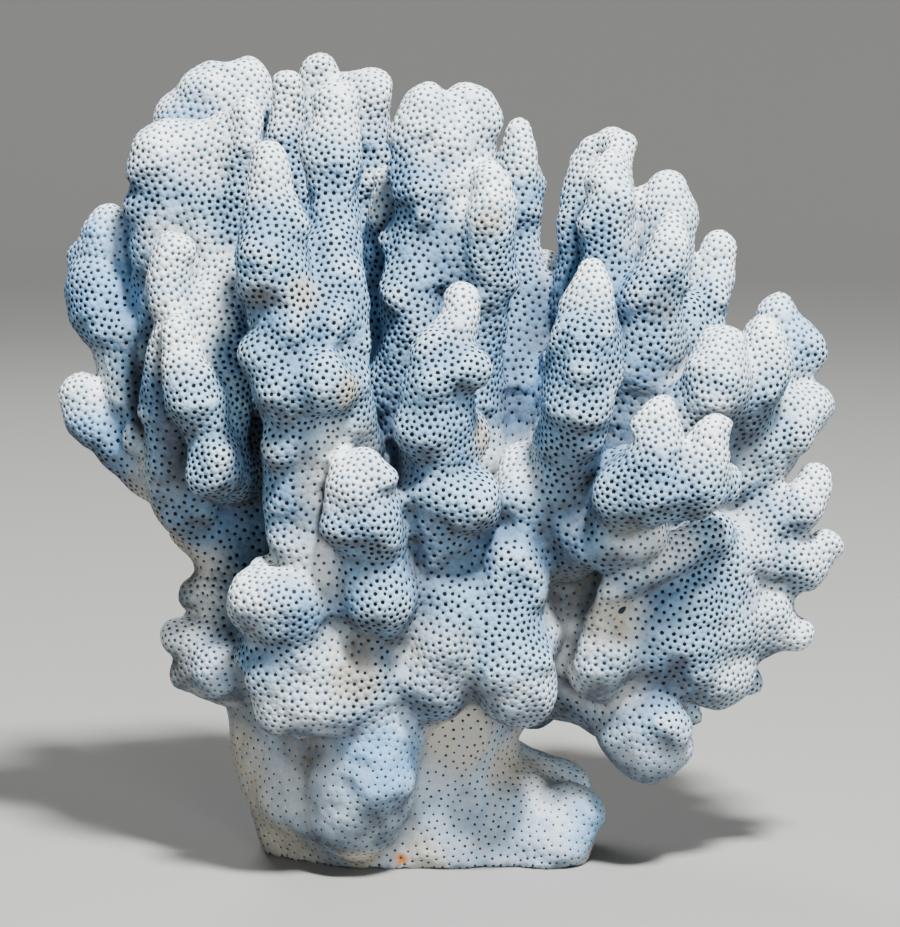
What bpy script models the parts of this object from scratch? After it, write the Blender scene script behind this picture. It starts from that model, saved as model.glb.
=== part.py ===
# Blue coral: one branching colony, cut off flat at its foot and standing on the cut.
#
# World units are metres, +Z up, and the front of the colony faces -Y. The forms are
# listed in millimetres as they are seen from the front: across (right of the middle),
# up (above the lowest edge of the foot), toward (horizontally in front of the middle
# of the foot) and radius. place() turns such a reading into a world point.
import math
import random

import bmesh
import bpy
from mathutils import Vector

MM = 0.001

# How the readings were taken: from this far away, looking this much down, at this height.
VIEW_DISTANCE = 1000.0
VIEW_TILT = math.radians(9.0)
VIEW_MIDDLE_UP = 101.6
VIEW_MIDDLE_HEIGHT = 98.0

# Driving dimensions of the build, in millimetres.
JOINT_GAP = 0.3
FUSE_VOXEL = 1.5
RING_SPACING = 2.5
RING_SIDES = 14
SOFTEN_STEPS = 5
SOFTEN_FACTOR = 0.5
SETTLE_STEPS = 2
SETTLE_FACTOR = 0.3
LUMP_SUBDIVISIONS = 3
DOME_DEGREES = (20, 40, 60, 80)

# Crown outline as seen from the front: (across, up). The rear columns stay under it.
CROWN_OUTLINE = [
    (-95, 118), (-86, 152), (-76, 178), (-60, 196), (-45, 192), (-30, 198), (-15, 176),
    (0, 190), (12, 176), (19, 178), (25, 148), (34, 178), (46, 162), (56, 168),
    (67, 152), (76, 134), (84, 138), (92, 115),
]

# Rear of the crown: each row is (toward, how far below the outline, half width). A row bows
# forward at its ends, and its columns wander about their places. The splits are where the
# left, centre and right branches meet.
REAR_ROWS = [(-28, 7, 76), (-43, 19, 66), (-56, 38, 46)]
REAR_SPACING = 19.5
REAR_BOW = 10.0
REAR_WANDER = 2.5
REAR_DEPTH_WANDER = 3.0
REAR_TIP_RADIUS = (6.8, 8.6)
REAR_TIP_DROP = 12.0
REAR_TIP_LEAN = 2.0
REAR_LUMP_LEVELS = (0.3, 0.62)
REAR_LUMP_RADIUS = (6.5, 8.0)
REAR_SPLITS = (-24.0, 22.0)
REAR_SEED = 20

# Each branch is a list of fingers and lobes. A finger is a list of stations from its
# root to its tip, (across, up, toward, radius). A single station is a round lump.
FOOT = [
    [(-24, -8, 0, 9), (-25, 3, 0, 15), (-27, 16, 0, 21.5), (-29, 30, 0, 25.5), (-30, 45, 0, 26.5)],
    [(-12, 4, 0, 24), (-10, 35, 0, 27), (-6, 58, 0, 30), (-2, 80, 0, 26)],
    [(-26, 12, 14, 12), (-23.5, 16.5, 24, 13.5), (-20.5, 25, 27, 14.2), (-18.5, 33.5, 27, 12.4)],
    [(-31, 13.5, 18, 8)],
    [(-34, 18, 14, 13), (-33, 34, 16, 13)],
    [(0, -3, 4, 18), (0, 10, 4, 19)],
    [(14, -3, 6, 15), (15, 12, 6, 15)],
    [(22, -4, 14, 8), (26, 8, 14, 11), (29, 13.5, 14, 9.5)],
    [(-2, 22, -4, 16), (14, 20, -6, 13), (25, 18, -6, 11)],
    [(-15, -3, -22, 15), (-15, 14, -22, 17)],
    [(8, -3, -18, 13), (8, 12, -18, 14)],
    [(-40, 56, 20, 14), (-22, 60, 25, 14.5), (0, 62, 24, 14.5), (14, 62, 23, 14)],
    [(-30, 80, 24, 12), (-8, 84, 25, 12), (12, 82, 22, 12)],
    [(14, 64, 18, 13), (32, 64, 14, 12)],
]

LEFT_BRANCH = [
    [(-25, 45, 0, 16), (-43, 61, 2, 13.5), (-53, 77, 5, 11), (-64, 91, 8, 10), (-69, 102, 10, 9)],
    [(-64, 91, 8, 9.5), (-72, 104, 8, 7), (-78, 114, 6, 5.6), (-80, 123, 3, 5.8),
     (-83, 132, 1, 7), (-87, 141, 0, 9), (-87.5, 149, -1, 8.3), (-86.5, 157, -2, 6.3),
     (-85, 162, -2, 3.9)],
    [(-78, 116, 5, 5.5), (-80, 131, 2, 7), (-82, 146, -1, 6.4), (-83.5, 158, -3, 5)],
    [(-90, 146, -1, 7)],
    [(-74, 98, 4, 6.5), (-82, 105, 3, 6.8), (-88.5, 112, 3, 7), (-92.5, 119, 3, 5.3)],
    [(-84, 107, 4, 6.5), (-91.5, 112.5, 3, 5)],
    [(-66, 92, 12, 9), (-69, 108, 20, 7.8), (-69.5, 125, 25, 7.2), (-69, 138, 26, 6.8),
     (-71, 148, 26, 6.5), (-70.6, 154.5, 25, 5.3)],
    [(-60, 112, 20, 8.5), (-62, 128, 21, 7.5), (-64.5, 141, 23, 6)],
    [(-50, 100, 8, 10), (-57.5, 99, 28, 7.8), (-58.5, 100.5, 34, 7.8), (-60.5, 109.5, 33, 6.4),
     (-64.5, 118, 35, 7.3), (-67.3, 127, 35, 6.3), (-68.4, 134.8, 34, 5.2)],
    [(-57, 104, 25, 7), (-57, 117, 25, 7), (-57.5, 131, 21, 7.4), (-58, 146, 16, 7.4)],
    [(-77.5, 108, 13, 4.8)],
]

LEFT_BLADES = [
    [(-38, 72, -2, 16), (-56, 98, 2, 12), (-65, 125, 6, 10), (-70, 145, 9, 9),
     (-72, 158, 10, 8.2), (-72.5, 170, 10, 8.2), (-72, 179, 10, 7.3), (-70, 183, 10, 5)],
    [(-44, 85, 4, 12), (-56, 115, 10, 9.5), (-57.5, 135, 12, 9), (-58, 150, 11, 9),
     (-58.5, 165, 10, 8.5), (-60, 180, 8, 7.5)],
    [(-52, 150, 14, 6), (-51.5, 168, 15, 5), (-50.5, 180, 15, 4.3), (-50.2, 188.5, 14, 3.9)],
    [(-64, 140, 9, 9), (-66, 165, 9, 8), (-66, 181.5, 8, 6.8)],
    [(-54, 150, 10, 7), (-54.5, 172, 10, 6.5), (-55, 184, 9, 5.4)],
    [(-48, 105, -10, 13), (-60, 150, -12, 11), (-64, 175, -13, 9), (-67.5, 188, -13, 6.3)],
    [(-50, 115, -10, 12), (-57, 155, -12, 10), (-59, 180, -12, 9), (-60, 194.5, -12, 8)],
    [(-42, 110, -8, 12), (-50, 160, -10, 9), (-51, 180, -11, 8), (-51, 196.5, -12, 6.8)],
    [(-46, 120, -9, 12), (-54, 165, -11, 9), (-56, 195.5, -12, 7.2)],
    [(-36, 120, 0, 10), (-40, 160, 1, 6.8), (-41, 185, 0, 4.8), (-41.4, 196.5, 0, 3.6)],
]

FRONT_LEFT_BRANCH = [
    [(-15, 66, 8, 16), (-28, 86, 26, 12), (-36, 102, 36, 9.5), (-39, 118, 42, 9.5),
     (-42, 135, 43, 9), (-43.5, 150, 43, 8.3), (-44.5, 162, 42, 7.3), (-45.2, 171, 41, 5.6),
     (-45, 178, 40, 4.2)],
    [(-26, 92, 22, 12), (-28, 118, 38, 9.5), (-28.5, 138, 38, 9), (-29, 152, 35, 8.3),
     (-28.5, 166, 29, 6.6), (-28.5, 180, 28, 6.8), (-27.5, 191, 27, 6.2)],
    [(-20, 68, 24, 12), (-19.5, 82, 42, 9), (-20.5, 89, 48, 9.4), (-23.3, 96, 48, 8),
     (-25, 100, 47, 5.3)],
    [(-16, 60, 18, 13), (-18, 69, 42, 9.6)],
    [(-22, 62, 34, 9), (-20, 76, 40, 8.5)],
    [(-46.5, 129, 45, 6.8)],
    [(-45.5, 147, 44, 6.3)],
    [(-31, 122, 48, 8.2)],
    [(-29, 137, 44, 6)],
    [(-42, 120, 47, 7)],
    [(-39, 102, 37, 9), (-38, 90, 38, 8.6), (-35, 77, 38, 8.4)],
    [(-30, 78, 34, 8), (-29, 68, 38, 8)],
]

LOWER_LEFT_LOBES = [
    [(-25, 58, 12, 14), (-38, 62, 34, 10.5), (-46, 67, 41, 9.3), (-48.5, 70, 41, 6.5)],
    [(-40, 67, 43, 8.8), (-38, 58, 39, 8.6), (-33, 50, 38, 9)],
    [(-24, 46, 14, 15), (-30, 43, 36, 9.4), (-36, 42, 38, 9.4)],
    [(-41.5, 53, 38, 8.6), (-41, 46, 38, 9.2), (-41, 41.5, 37, 8.8)],
    [(-34, 73, 35, 8), (-33, 63, 36, 8.6), (-31, 53, 36, 9)],
    [(-22, 57, 34, 9), (-20, 46, 34, 8.6), (-18, 38, 32, 8)],
    [(-46, 54, 33, 6.5)],
    [(-26, 52, 34, 9.5), (-22, 44, 34, 9)],
    [(-40, 62, 4, 13), (-58, 69, 9, 8), (-63.5, 69.5, 10, 5.6)],
    [(-42, 54, 6, 13), (-60, 57, 12, 8), (-67.8, 58, 13, 5.4)],
    [(-44, 50, 6, 11), (-60, 49, 12, 7), (-65, 50, 13, 5.5)],
    [(-48, 50, 12, 9), (-58.5, 52, 20, 5.5), (-58.3, 46.5, 20, 4.8)],
]

FRONT_MIDDLE_BRANCH = [
    [(-4, 72, 6, 18), (-3, 92, 26, 13), (-3, 104, 36, 10), (-3, 118, 42, 8.5),
     (-1, 130, 43, 6.8), (2.5, 138, 41, 4.6), (3, 143.3, 40, 4)],
    [(4.6, 125.5, 47, 5.6)],
    [(-4.5, 128, 45, 6.2)],
    [(-5.5, 120, 47, 7.5)],
    [(-6.5, 111, 45, 8.3)],
    [(4.5, 110, 34, 6)],
    [(-3.5, 93, 41, 9), (-2, 82, 36, 8)],
    [(4.5, 92.5, 41, 8.2)],
    [(12, 72, 12, 12), (17.5, 86, 29, 8.4), (18.5, 96, 30, 7.6), (18, 101, 28, 6)],
    [(20, 89, 31, 6)],
]

LOWER_FRONT_LOBES = [
    [(-4, 58, 12, 16), (0, 72, 34, 9.6), (-1, 63, 35, 9.8), (-3, 54, 35, 9.6)],
    [(-4, 50, 12, 15), (-4.5, 47.5, 34, 9.6)],
    [(6, 60, 12, 15), (15.5, 80, 31, 8.8), (13.5, 70, 34, 9), (13.5, 60, 35, 9.6), (15, 51, 35, 11),
     (16, 47, 34, 11)],
    [(4.5, 62, 28, 7), (4.5, 50, 27, 7)],
    [(22, 58, 28, 6.5)],
]

MIDDLE_BRANCH = [
    [(-4, 78, 4, 22), (-6, 105, 14, 15), (-8, 125, 19, 11), (-9.3, 145, 20, 9),
     (-8.5, 160, 19, 7.6), (-8, 172, 19, 7.4), (-7, 182, 17, 7), (-6, 189.5, 16, 6.4)],
    [(2, 90, 4, 18), (3, 120, 14, 11), (2, 140, 17, 9), (3.5, 160, 15, 7.8),
     (4.5, 175, 13, 7), (4.7, 184, 12, 6.6), (4.5, 191.5, 12, 6.2)],
    [(-8.7, 171, 24, 6.8)],
    [(-1.5, 150, 19, 7), (-1.5, 170, 19, 6.5), (-1, 185, 16, 5.8)],
    [(6, 130, 16, 8), (8.8, 141, 21, 5.5), (10, 150, 22, 6), (11, 159, 24, 6.5),
     (11, 166, 24, 6.3), (10, 171.5, 23, 5)],
    [(15, 98, 4, 13), (18, 120, 4, 10), (18, 138, 0, 7.6), (18, 155, -2, 6),
     (18, 170, -3, 5.6), (17.7, 179, -3, 5.3), (17.6, 184.5, -3, 4.4)],
    [(22, 95, 4, 13), (24, 118, 2, 10), (25, 138, -5, 8), (24.5, 149.5, -8, 6)],
]

REAR_MIDDLE_BRANCH = [
    [(-12, 78, -8, 18), (-20, 110, -12, 14), (-20, 140, -14, 8), (-19.5, 165, -16, 6),
     (-19.7, 182, -17, 5.6), (-20.5, 194.5, -18, 5.8)],
    [(-22, 98, -12, 15), (-31, 140, -18, 9.5), (-33, 170, -21, 7.5), (-33, 188, -22, 6.2),
     (-32, 199.8, -22, 5.3)],
    [(-26, 150, -16, 8), (-26, 185, -20, 6), (-26, 194, -20, 5.5)],
    [(-15.5, 178, -14, 3.2)],
    [(-15, 120, -2, 9), (-15, 150, 0, 7.4), (-15, 166, 1, 6.2), (-15, 171, 1, 5.2)],
]

FRONT_RIGHT_BRANCH = [
    [(8, 72, 6, 16), (20, 86, 22, 12), (28, 99, 33, 9), (31.5, 112, 41, 8.5),
     (33.5, 124, 43, 8.8), (35, 135, 43, 8.3), (35.6, 144, 42, 6), (35.3, 149.8, 41, 3.8)],
    [(26, 76, 12, 12), (38, 87, 25, 10), (45, 94, 40, 9.4), (50, 102, 48, 7.6), (52, 109, 48, 5.6),
     (52.4, 115.6, 47, 4)],
    [(56, 95, 46, 8), (62, 98, 48, 7), (65.5, 104, 48, 5.2), (66.2, 109.3, 47, 3.9)],
    [(34.5, 133, 46, 7.5)],
    [(32.5, 117, 45, 7.2)],
    [(30, 104, 38, 7)],
    [(43.5, 95, 46, 8.3)],
    [(51.5, 95, 48, 8.5)],
    [(60, 95, 47, 7)],
    [(68, 96, 43, 5.5)],
    [(30, 80, 26, 9), (36, 83, 36, 7), (43, 82.5, 38, 6.3), (50, 84, 38, 5.5)],
]

UPPER_RIGHT_BRANCH = [
    [(10, 80, 4, 18), (28, 105, 10, 14), (37, 130, 12, 11), (38.5, 150, 17, 7.8),
     (40, 163, 18, 6.6), (40, 171, 17, 5.8), (41, 175.5, 15, 4.8)],
    [(42, 165, 13, 5), (42, 176, 11, 4), (42.3, 181.5, 9, 3.6)],
    [(34, 140, 6, 9), (33, 160, 4, 6.2), (33.5, 172, 3, 5), (35.3, 180.6, 3, 4.6)],
    [(38, 155, 5, 7), (38.8, 172, 3, 5), (40, 181.4, 4, 4.8)],
    [(44, 140, 4, 8), (47.5, 160, 2, 4.5), (48, 167, 2, 3.4)],
    [(42, 112, 12, 12), (50, 140, 10, 8.5), (53.5, 155, 7, 7.2), (55, 165, 5, 6.7),
     (55, 169.5, 4, 5.4)],
    [(57.6, 164.5, 4, 4.6)],
    [(45, 116, 18, 10), (50, 134, 24, 8), (53, 148, 26, 6.2), (55, 156, 25, 5.4),
     (55.3, 161, 23, 4.2)],
    [(49.5, 143, 26, 6.2)],
    [(48, 108, 12, 11), (58, 125, 12, 8.5), (63, 137, 9, 6.8), (65.5, 147, 6, 5.6),
     (67.3, 155, 4, 4.8)],
    [(59, 133, 15, 5), (60, 140, 13, 5)],
]

RIGHT_BRANCH = [
    [(26, 68, 4, 16), (48, 85, 10, 14), (62, 97, 12, 12), (72, 106, 13, 11)],
    [(40, 98, 20, 10), (46, 111, 19, 10), (54, 119, 18, 9)],
    [(54, 106, 20, 10), (63, 117, 32, 7.6), (67, 123, 33, 8.3), (68.6, 130.5, 32, 5.9)],
    [(68, 110, 18, 9), (76.5, 120, 24, 6.6), (78, 128, 23, 6), (78, 134.3, 21, 4.6)],
    [(70, 112, 8, 10), (80, 124, 8, 8.5), (84.5, 131, 7, 7.5), (82.3, 137.8, 6, 6.5)],
    [(74, 102, 12, 10), (83, 111, 12, 9), (89, 115.5, 10, 7.4)],
    [(70, 86, 12, 10), (83, 88, 17, 6), (88.5, 92, 18, 5.6), (91, 98, 17, 4.1)],
    [(70, 78, 14, 10), (84, 75, 16, 7.3), (90, 77, 16, 5.6), (93.6, 80.6, 15, 4.1)],
]

LOWER_RIGHT_BRANCH = [
    [(12, 52, 2, 18), (35, 60, 16, 14), (52, 66, 22, 13.5), (66, 68, 20, 12.5), (76, 66, 16, 10)],
    [(44, 70, 20, 11), (62, 77, 22, 10), (72, 80, 18, 9)],
    [(28, 50, 8, 13), (48, 52, 22, 10.5), (60, 53, 22, 10.5), (66, 50, 21, 9)],
    [(70, 60, 16, 9), (80, 60.5, 15, 6), (86.3, 59.3, 15, 3.9)],
    [(40.5, 61, 28, 6.5), (39, 54, 30, 8.6), (37, 50, 28, 8.6)],
    [(46, 58, 16, 12), (57, 60, 24, 12.5), (66, 62, 20, 12)],
    [(60, 50, 22, 8), (66.3, 45.5, 22, 4.2)],
    [(62, 54, 4, 9), (72.5, 47.5, 0, 4.2)],
    [(36, 47, 10, 12), (46, 41, 21, 11), (48.5, 35, 23, 12), (49.5, 33, 23, 11.4)],
    [(57, 31, 22, 5)],
    [(52, 45, 10, 9), (60.3, 37.5, 12, 3)],
    [(64, 84, 29, 6.5), (54, 78.5, 33, 6), (46, 74, 36, 4.6), (41.5, 70.3, 37, 3)],
]

# Low lobes under the rear of the crown.
REAR_LOW_LOBES = [
    [(-30, 55, -8, 18), (-44, 62, -26, 11), (-50, 68, -32, 9)],
    [(-22, 50, -10, 18), (-26, 48, -32, 11.5), (-27, 54, -38, 9)],
    [(-4, 52, -8, 20), (-4, 50, -34, 12), (-3, 60, -42, 9.5)],
    [(14, 54, -6, 18), (20, 50, -28, 12), (22, 58, -36, 9.5)],
    [(28, 58, -2, 16), (44, 56, -16, 11), (50, 64, -26, 9)],
    [(36, 66, 0, 15), (60, 74, -8, 11), (70, 84, -14, 9)],
]


def place(across, up, toward):
    """World point and size factor of a front reading, everything in millimetres."""
    eye_y = -VIEW_DISTANCE * math.cos(VIEW_TILT)
    eye_z = VIEW_MIDDLE_HEIGHT + VIEW_DISTANCE * math.sin(VIEW_TILT)
    rise = (up - VIEW_MIDDLE_UP) / VIEW_DISTANCE
    reach = (-toward - eye_y) / (math.cos(VIEW_TILT) + rise * math.sin(VIEW_TILT))
    height = eye_z + reach * (rise * math.cos(VIEW_TILT) - math.sin(VIEW_TILT))
    shrink = reach / VIEW_DISTANCE
    return Vector((across * shrink, -toward, height)), shrink


def smooth_path(stations):
    """Points and radii along a Catmull-Rom curve through a finger's stations, in metres."""
    knots = []
    for across, up, toward, radius in stations:
        point, shrink = place(across, up, toward)
        knots.append((point * MM, radius * shrink * MM))
    if len(knots) == 1:
        return knots
    first = (knots[0][0] * 2 - knots[1][0], knots[0][1])
    last = (knots[-1][0] * 2 - knots[-2][0], knots[-1][1])
    padded = [first] + knots + [last]
    path = []
    for i in range(1, len(padded) - 2):
        steps = max(2, round((padded[i + 1][0] - padded[i][0]).length / (RING_SPACING * MM)))
        for k in range(steps):
            f = k / steps
            weights = (
                (-f + 2 * f * f - f ** 3) / 2,
                (2 - 5 * f * f + 3 * f ** 3) / 2,
                (f + 4 * f * f - 3 * f ** 3) / 2,
                (-f * f + f ** 3) / 2,
            )
            point = Vector((0, 0, 0))
            radius = 0.0
            for weight, knot in zip(weights, padded[i - 1:i + 3]):
                point += weight * knot[0]
                radius += weight * knot[1]
            path.append((point, radius))
    path.append(knots[-1])
    return path


def add_lump(bm, centre, radius):
    """A round lump."""
    made = bmesh.ops.create_icosphere(bm, subdivisions=LUMP_SUBDIVISIONS, radius=radius)
    bmesh.ops.translate(bm, verts=made["verts"], vec=centre)


def add_finger(bm, stations):
    """A tapering round finger with domed ends, as one closed tube."""
    path = smooth_path(stations)
    if len(path) == 1:
        add_lump(bm, *path[0])
        return
    rings = []
    start_dir = (path[0][0] - path[1][0]).normalized()
    end_dir = (path[-1][0] - path[-2][0]).normalized()
    for degrees in reversed(DOME_DEGREES):
        lift = math.radians(degrees)
        centre = path[0][0] + start_dir * path[0][1] * math.sin(lift)
        rings.append((centre, path[0][1] * math.cos(lift)))
    rings.extend(path)
    for degrees in DOME_DEGREES:
        lift = math.radians(degrees)
        centre = path[-1][0] + end_dir * path[-1][1] * math.sin(lift)
        rings.append((centre, path[-1][1] * math.cos(lift)))

    side = start_dir.orthogonal().normalized()
    loops = []
    for i, (centre, radius) in enumerate(rings):
        before = rings[max(i - 1, 0)][0]
        after = rings[min(i + 1, len(rings) - 1)][0]
        along = (after - before).normalized()
        side = (side - along * side.dot(along)).normalized()
        other = along.cross(side)
        loop = []
        for k in range(RING_SIDES):
            turn = math.tau * k / RING_SIDES
            loop.append(bm.verts.new(centre + radius * (math.cos(turn) * side + math.sin(turn) * other)))
        loops.append(loop)
    for lower, upper in zip(loops, loops[1:]):
        for k in range(RING_SIDES):
            n = (k + 1) % RING_SIDES
            bm.faces.new((lower[k], lower[n], upper[n], upper[k]))
    bm.faces.new(list(reversed(loops[0])))
    bm.faces.new(loops[-1])


def crown_top(across):
    """Height of the crown's outline at a place across, straight between its points."""
    for (left, left_up), (right, right_up) in zip(CROWN_OUTLINE, CROWN_OUTLINE[1:]):
        if left <= across <= right:
            return left_up + (right_up - left_up) * (across - left) / (right - left)
    return CROWN_OUTLINE[0][1] if across < 0 else CROWN_OUTLINE[-1][1]


def rear_columns():
    """Knobbly columns that fill the rear of the crown, by the side they grow on."""
    chance = random.Random(REAR_SEED)
    sides = {"rear_left_branch": [], "rear_centre_branch": [], "rear_right_branch": []}
    for toward, drop, half_width in REAR_ROWS:
        count = round(2 * half_width / REAR_SPACING)
        for column in range(count + 1):
            across = -half_width + column * 2 * half_width / count
            spot = across + chance.uniform(-REAR_WANDER, REAR_WANDER)
            depth = toward + chance.uniform(-REAR_DEPTH_WANDER, REAR_DEPTH_WANDER)
            depth += REAR_BOW * (spot / half_width) ** 2
            radius = chance.uniform(*REAR_TIP_RADIUS)
            tip = crown_top(spot) - drop - radius - chance.uniform(0, REAR_TIP_DROP)
            foot_up = 70 + 22 * abs(spot) / half_width
            finger = [
                (spot * 0.3 - 3, 62, depth * 0.25, 15),
                (spot * 0.74, foot_up + 8, depth * 0.78, 11),
                (spot * 0.93, foot_up + 0.35 * (tip - foot_up), depth * 0.98, 9.5),
                (spot, foot_up + 0.75 * (tip - foot_up), depth, radius * 1.08),
                (spot + chance.uniform(-REAR_TIP_LEAN, REAR_TIP_LEAN), tip,
                 depth + chance.uniform(-REAR_TIP_LEAN, REAR_TIP_LEAN), radius * 0.75),
            ]
            lumps = []
            for level in REAR_LUMP_LEVELS:
                up = foot_up + level * (tip - foot_up) + chance.uniform(-6, 6)
                lean = spot * (0.9 + 0.1 * level)
                lumps.append([(lean + chance.uniform(-4, 4), up, depth - chance.uniform(3, 6),
                               chance.uniform(*REAR_LUMP_RADIUS))])
            if spot < REAR_SPLITS[0]:
                name = "rear_left_branch"
            elif spot < REAR_SPLITS[1]:
                name = "rear_centre_branch"
            else:
                name = "rear_right_branch"
            sides[name] += [finger] + lumps
    return sides


def evaluated_mesh(obj):
    """The object's mesh with its modifiers worked in."""
    graph = bpy.context.evaluated_depsgraph_get()
    return bpy.data.meshes.new_from_object(obj.evaluated_get(graph))


def fuse(name, fingers, faces):
    """One closed skin over all the fingers and lumps, softened, with about that many faces."""
    bm = bmesh.new()
    for stations in fingers:
        add_finger(bm, stations)
    rough = bpy.data.meshes.new(name)
    bm.to_mesh(rough)
    bm.free()
    obj = bpy.data.objects.new(name, rough)
    bpy.context.collection.objects.link(obj)
    skin = obj.modifiers.new("skin", "REMESH")
    skin.mode = "VOXEL"
    skin.voxel_size = FUSE_VOXEL * MM
    soften = obj.modifiers.new("soften", "SMOOTH")
    soften.factor = SOFTEN_FACTOR
    soften.iterations = SOFTEN_STEPS
    obj.data = evaluated_mesh(obj)
    obj.modifiers.clear()
    reduce = obj.modifiers.new("reduce", "DECIMATE")
    reduce.ratio = faces / (2 * len(obj.data.polygons))
    reduce.use_collapse_triangulate = True
    settle = obj.modifiers.new("settle", "SMOOTH")
    settle.factor = SETTLE_FACTOR
    settle.iterations = SETTLE_STEPS
    obj.data = evaluated_mesh(obj)
    obj.modifiers.clear()
    return obj


def keep_largest_body(mesh):
    """Drops the crumbs that a cut leaves, and triangulates what stays."""
    bm = bmesh.new()
    bm.from_mesh(mesh)
    unseen = set(bm.verts)
    bodies = []
    while unseen:
        front = [unseen.pop()]
        body = list(front)
        while front:
            vert = front.pop()
            for edge in vert.link_edges:
                far = edge.other_vert(vert)
                if far in unseen:
                    unseen.remove(far)
                    front.append(far)
                    body.append(far)
        bodies.append(body)
    bodies.sort(key=len, reverse=True)
    for body in bodies[1:]:
        bmesh.ops.delete(bm, geom=body, context="VERTS")
    bmesh.ops.triangulate(bm, faces=bm.faces[:])
    bm.to_mesh(mesh)
    bm.free()


def overlaps(one, two):
    """Whether two objects' boxes meet."""
    for axis in range(3):
        one_low = min(corner[axis] for corner in one.bound_box)
        one_high = max(corner[axis] for corner in one.bound_box)
        two_low = min(corner[axis] for corner in two.bound_box)
        two_high = max(corner[axis] for corner in two.bound_box)
        if one_high < two_low or two_high < one_low:
            return False
    return True


def swollen_copy(obj):
    """The whole branch, uncut and larger by the gap, as a guide to cut its neighbours with."""
    mesh = obj.data.copy()
    for vert in mesh.vertices:
        vert.co += vert.normal * JOINT_GAP * MM
    cutter = bpy.data.objects.new(obj.name + "_cutter", mesh)
    bpy.context.collection.objects.link(cutter)
    cutter.hide_render = True
    cutter.display_type = "WIRE"
    return cutter


def cut_by(obj, cutter):
    """Cuts a branch back to just off its neighbour's skin, where the two fork."""
    cut = obj.modifiers.new("fork", "BOOLEAN")
    cut.operation = "DIFFERENCE"
    cut.solver = "EXACT"
    cut.object = cutter
    obj.data = evaluated_mesh(obj)
    obj.modifiers.clear()


def cut_flat(obj):
    """Cuts the foot off flat at the ground."""
    bm = bmesh.new()
    bm.from_mesh(obj.data)
    geom = bm.verts[:] + bm.edges[:] + bm.faces[:]
    cut = bmesh.ops.bisect_plane(bm, geom=geom, plane_co=(0, 0, 0), plane_no=(0, 0, 1),
                                 clear_inner=True)
    rim = [item for item in cut["geom_cut"] if isinstance(item, bmesh.types.BMEdge)]
    bmesh.ops.triangle_fill(bm, use_beauty=True, edges=rim, normal=(0, 0, -1))
    bm.to_mesh(obj.data)
    bm.free()


def finish(name, colour):
    """A dry, matt, stony material."""
    material = bpy.data.materials.new(name + "_skeleton")
    material.use_nodes = True
    shader = material.node_tree.nodes["Principled BSDF"]
    shader.inputs["Base Color"].default_value = (*colour, 1)
    shader.inputs["Roughness"].default_value = 0.8
    shader.inputs["Metallic"].default_value = 0.0
    material.diffuse_color = (*colour, 1)
    return material


def branch_list():
    """(name, fingers, triangles before the cuts, colour), a parent before what forks off it."""
    pale_blue = (0.58, 0.66, 0.74)
    blue_grey = (0.45, 0.54, 0.64)
    cream = (0.55, 0.51, 0.45)
    rear = rear_columns()
    rear_low = [REAR_LOW_LOBES[:2], REAR_LOW_LOBES[2:4], REAR_LOW_LOBES[4:]]
    for name, lobes in zip(rear, rear_low):
        rear[name] += lobes

    return [
        ("foot", FOOT, 550, cream),
        ("middle_branch", MIDDLE_BRANCH, 440, pale_blue),
        ("front_left_branch", FRONT_LEFT_BRANCH, 560, pale_blue),
        ("front_middle_branch", FRONT_MIDDLE_BRANCH, 420, pale_blue),
        ("front_right_branch", FRONT_RIGHT_BRANCH, 480, pale_blue),
        ("left_branch", LEFT_BRANCH, 500, blue_grey),
        ("left_blades", LEFT_BLADES, 410, pale_blue),
        ("rear_middle_branch", REAR_MIDDLE_BRANCH, 260, blue_grey),
        ("upper_right_branch", UPPER_RIGHT_BRANCH, 420, pale_blue),
        ("right_branch", RIGHT_BRANCH, 400, pale_blue),
        ("lower_right_branch", LOWER_RIGHT_BRANCH, 380, pale_blue),
        ("lower_left_lobes", LOWER_LEFT_LOBES, 350, pale_blue),
        ("lower_front_lobes", LOWER_FRONT_LOBES, 220, pale_blue),
        ("rear_left_branch", rear["rear_left_branch"], 430, blue_grey),
        ("rear_centre_branch", rear["rear_centre_branch"], 430, blue_grey),
        ("rear_right_branch", rear["rear_right_branch"], 400, blue_grey),
    ]


def main():
    for obj in list(bpy.data.objects):
        bpy.data.objects.remove(obj)
    cutters = []
    for name, fingers, faces, colour in branch_list():
        obj = fuse(name, fingers, faces)
        whole = swollen_copy(obj)
        for cutter in cutters:
            if overlaps(obj, cutter):
                cut_by(obj, cutter)
        if name == "foot":
            cut_flat(obj)
        keep_largest_body(obj.data)
        obj.data.shade_smooth()
        obj.data.materials.clear()
        obj.data.materials.append(finish(name, colour))
        cutters.append(whole)
    for cutter in cutters:
        bpy.data.objects.remove(cutter)


main()
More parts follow.
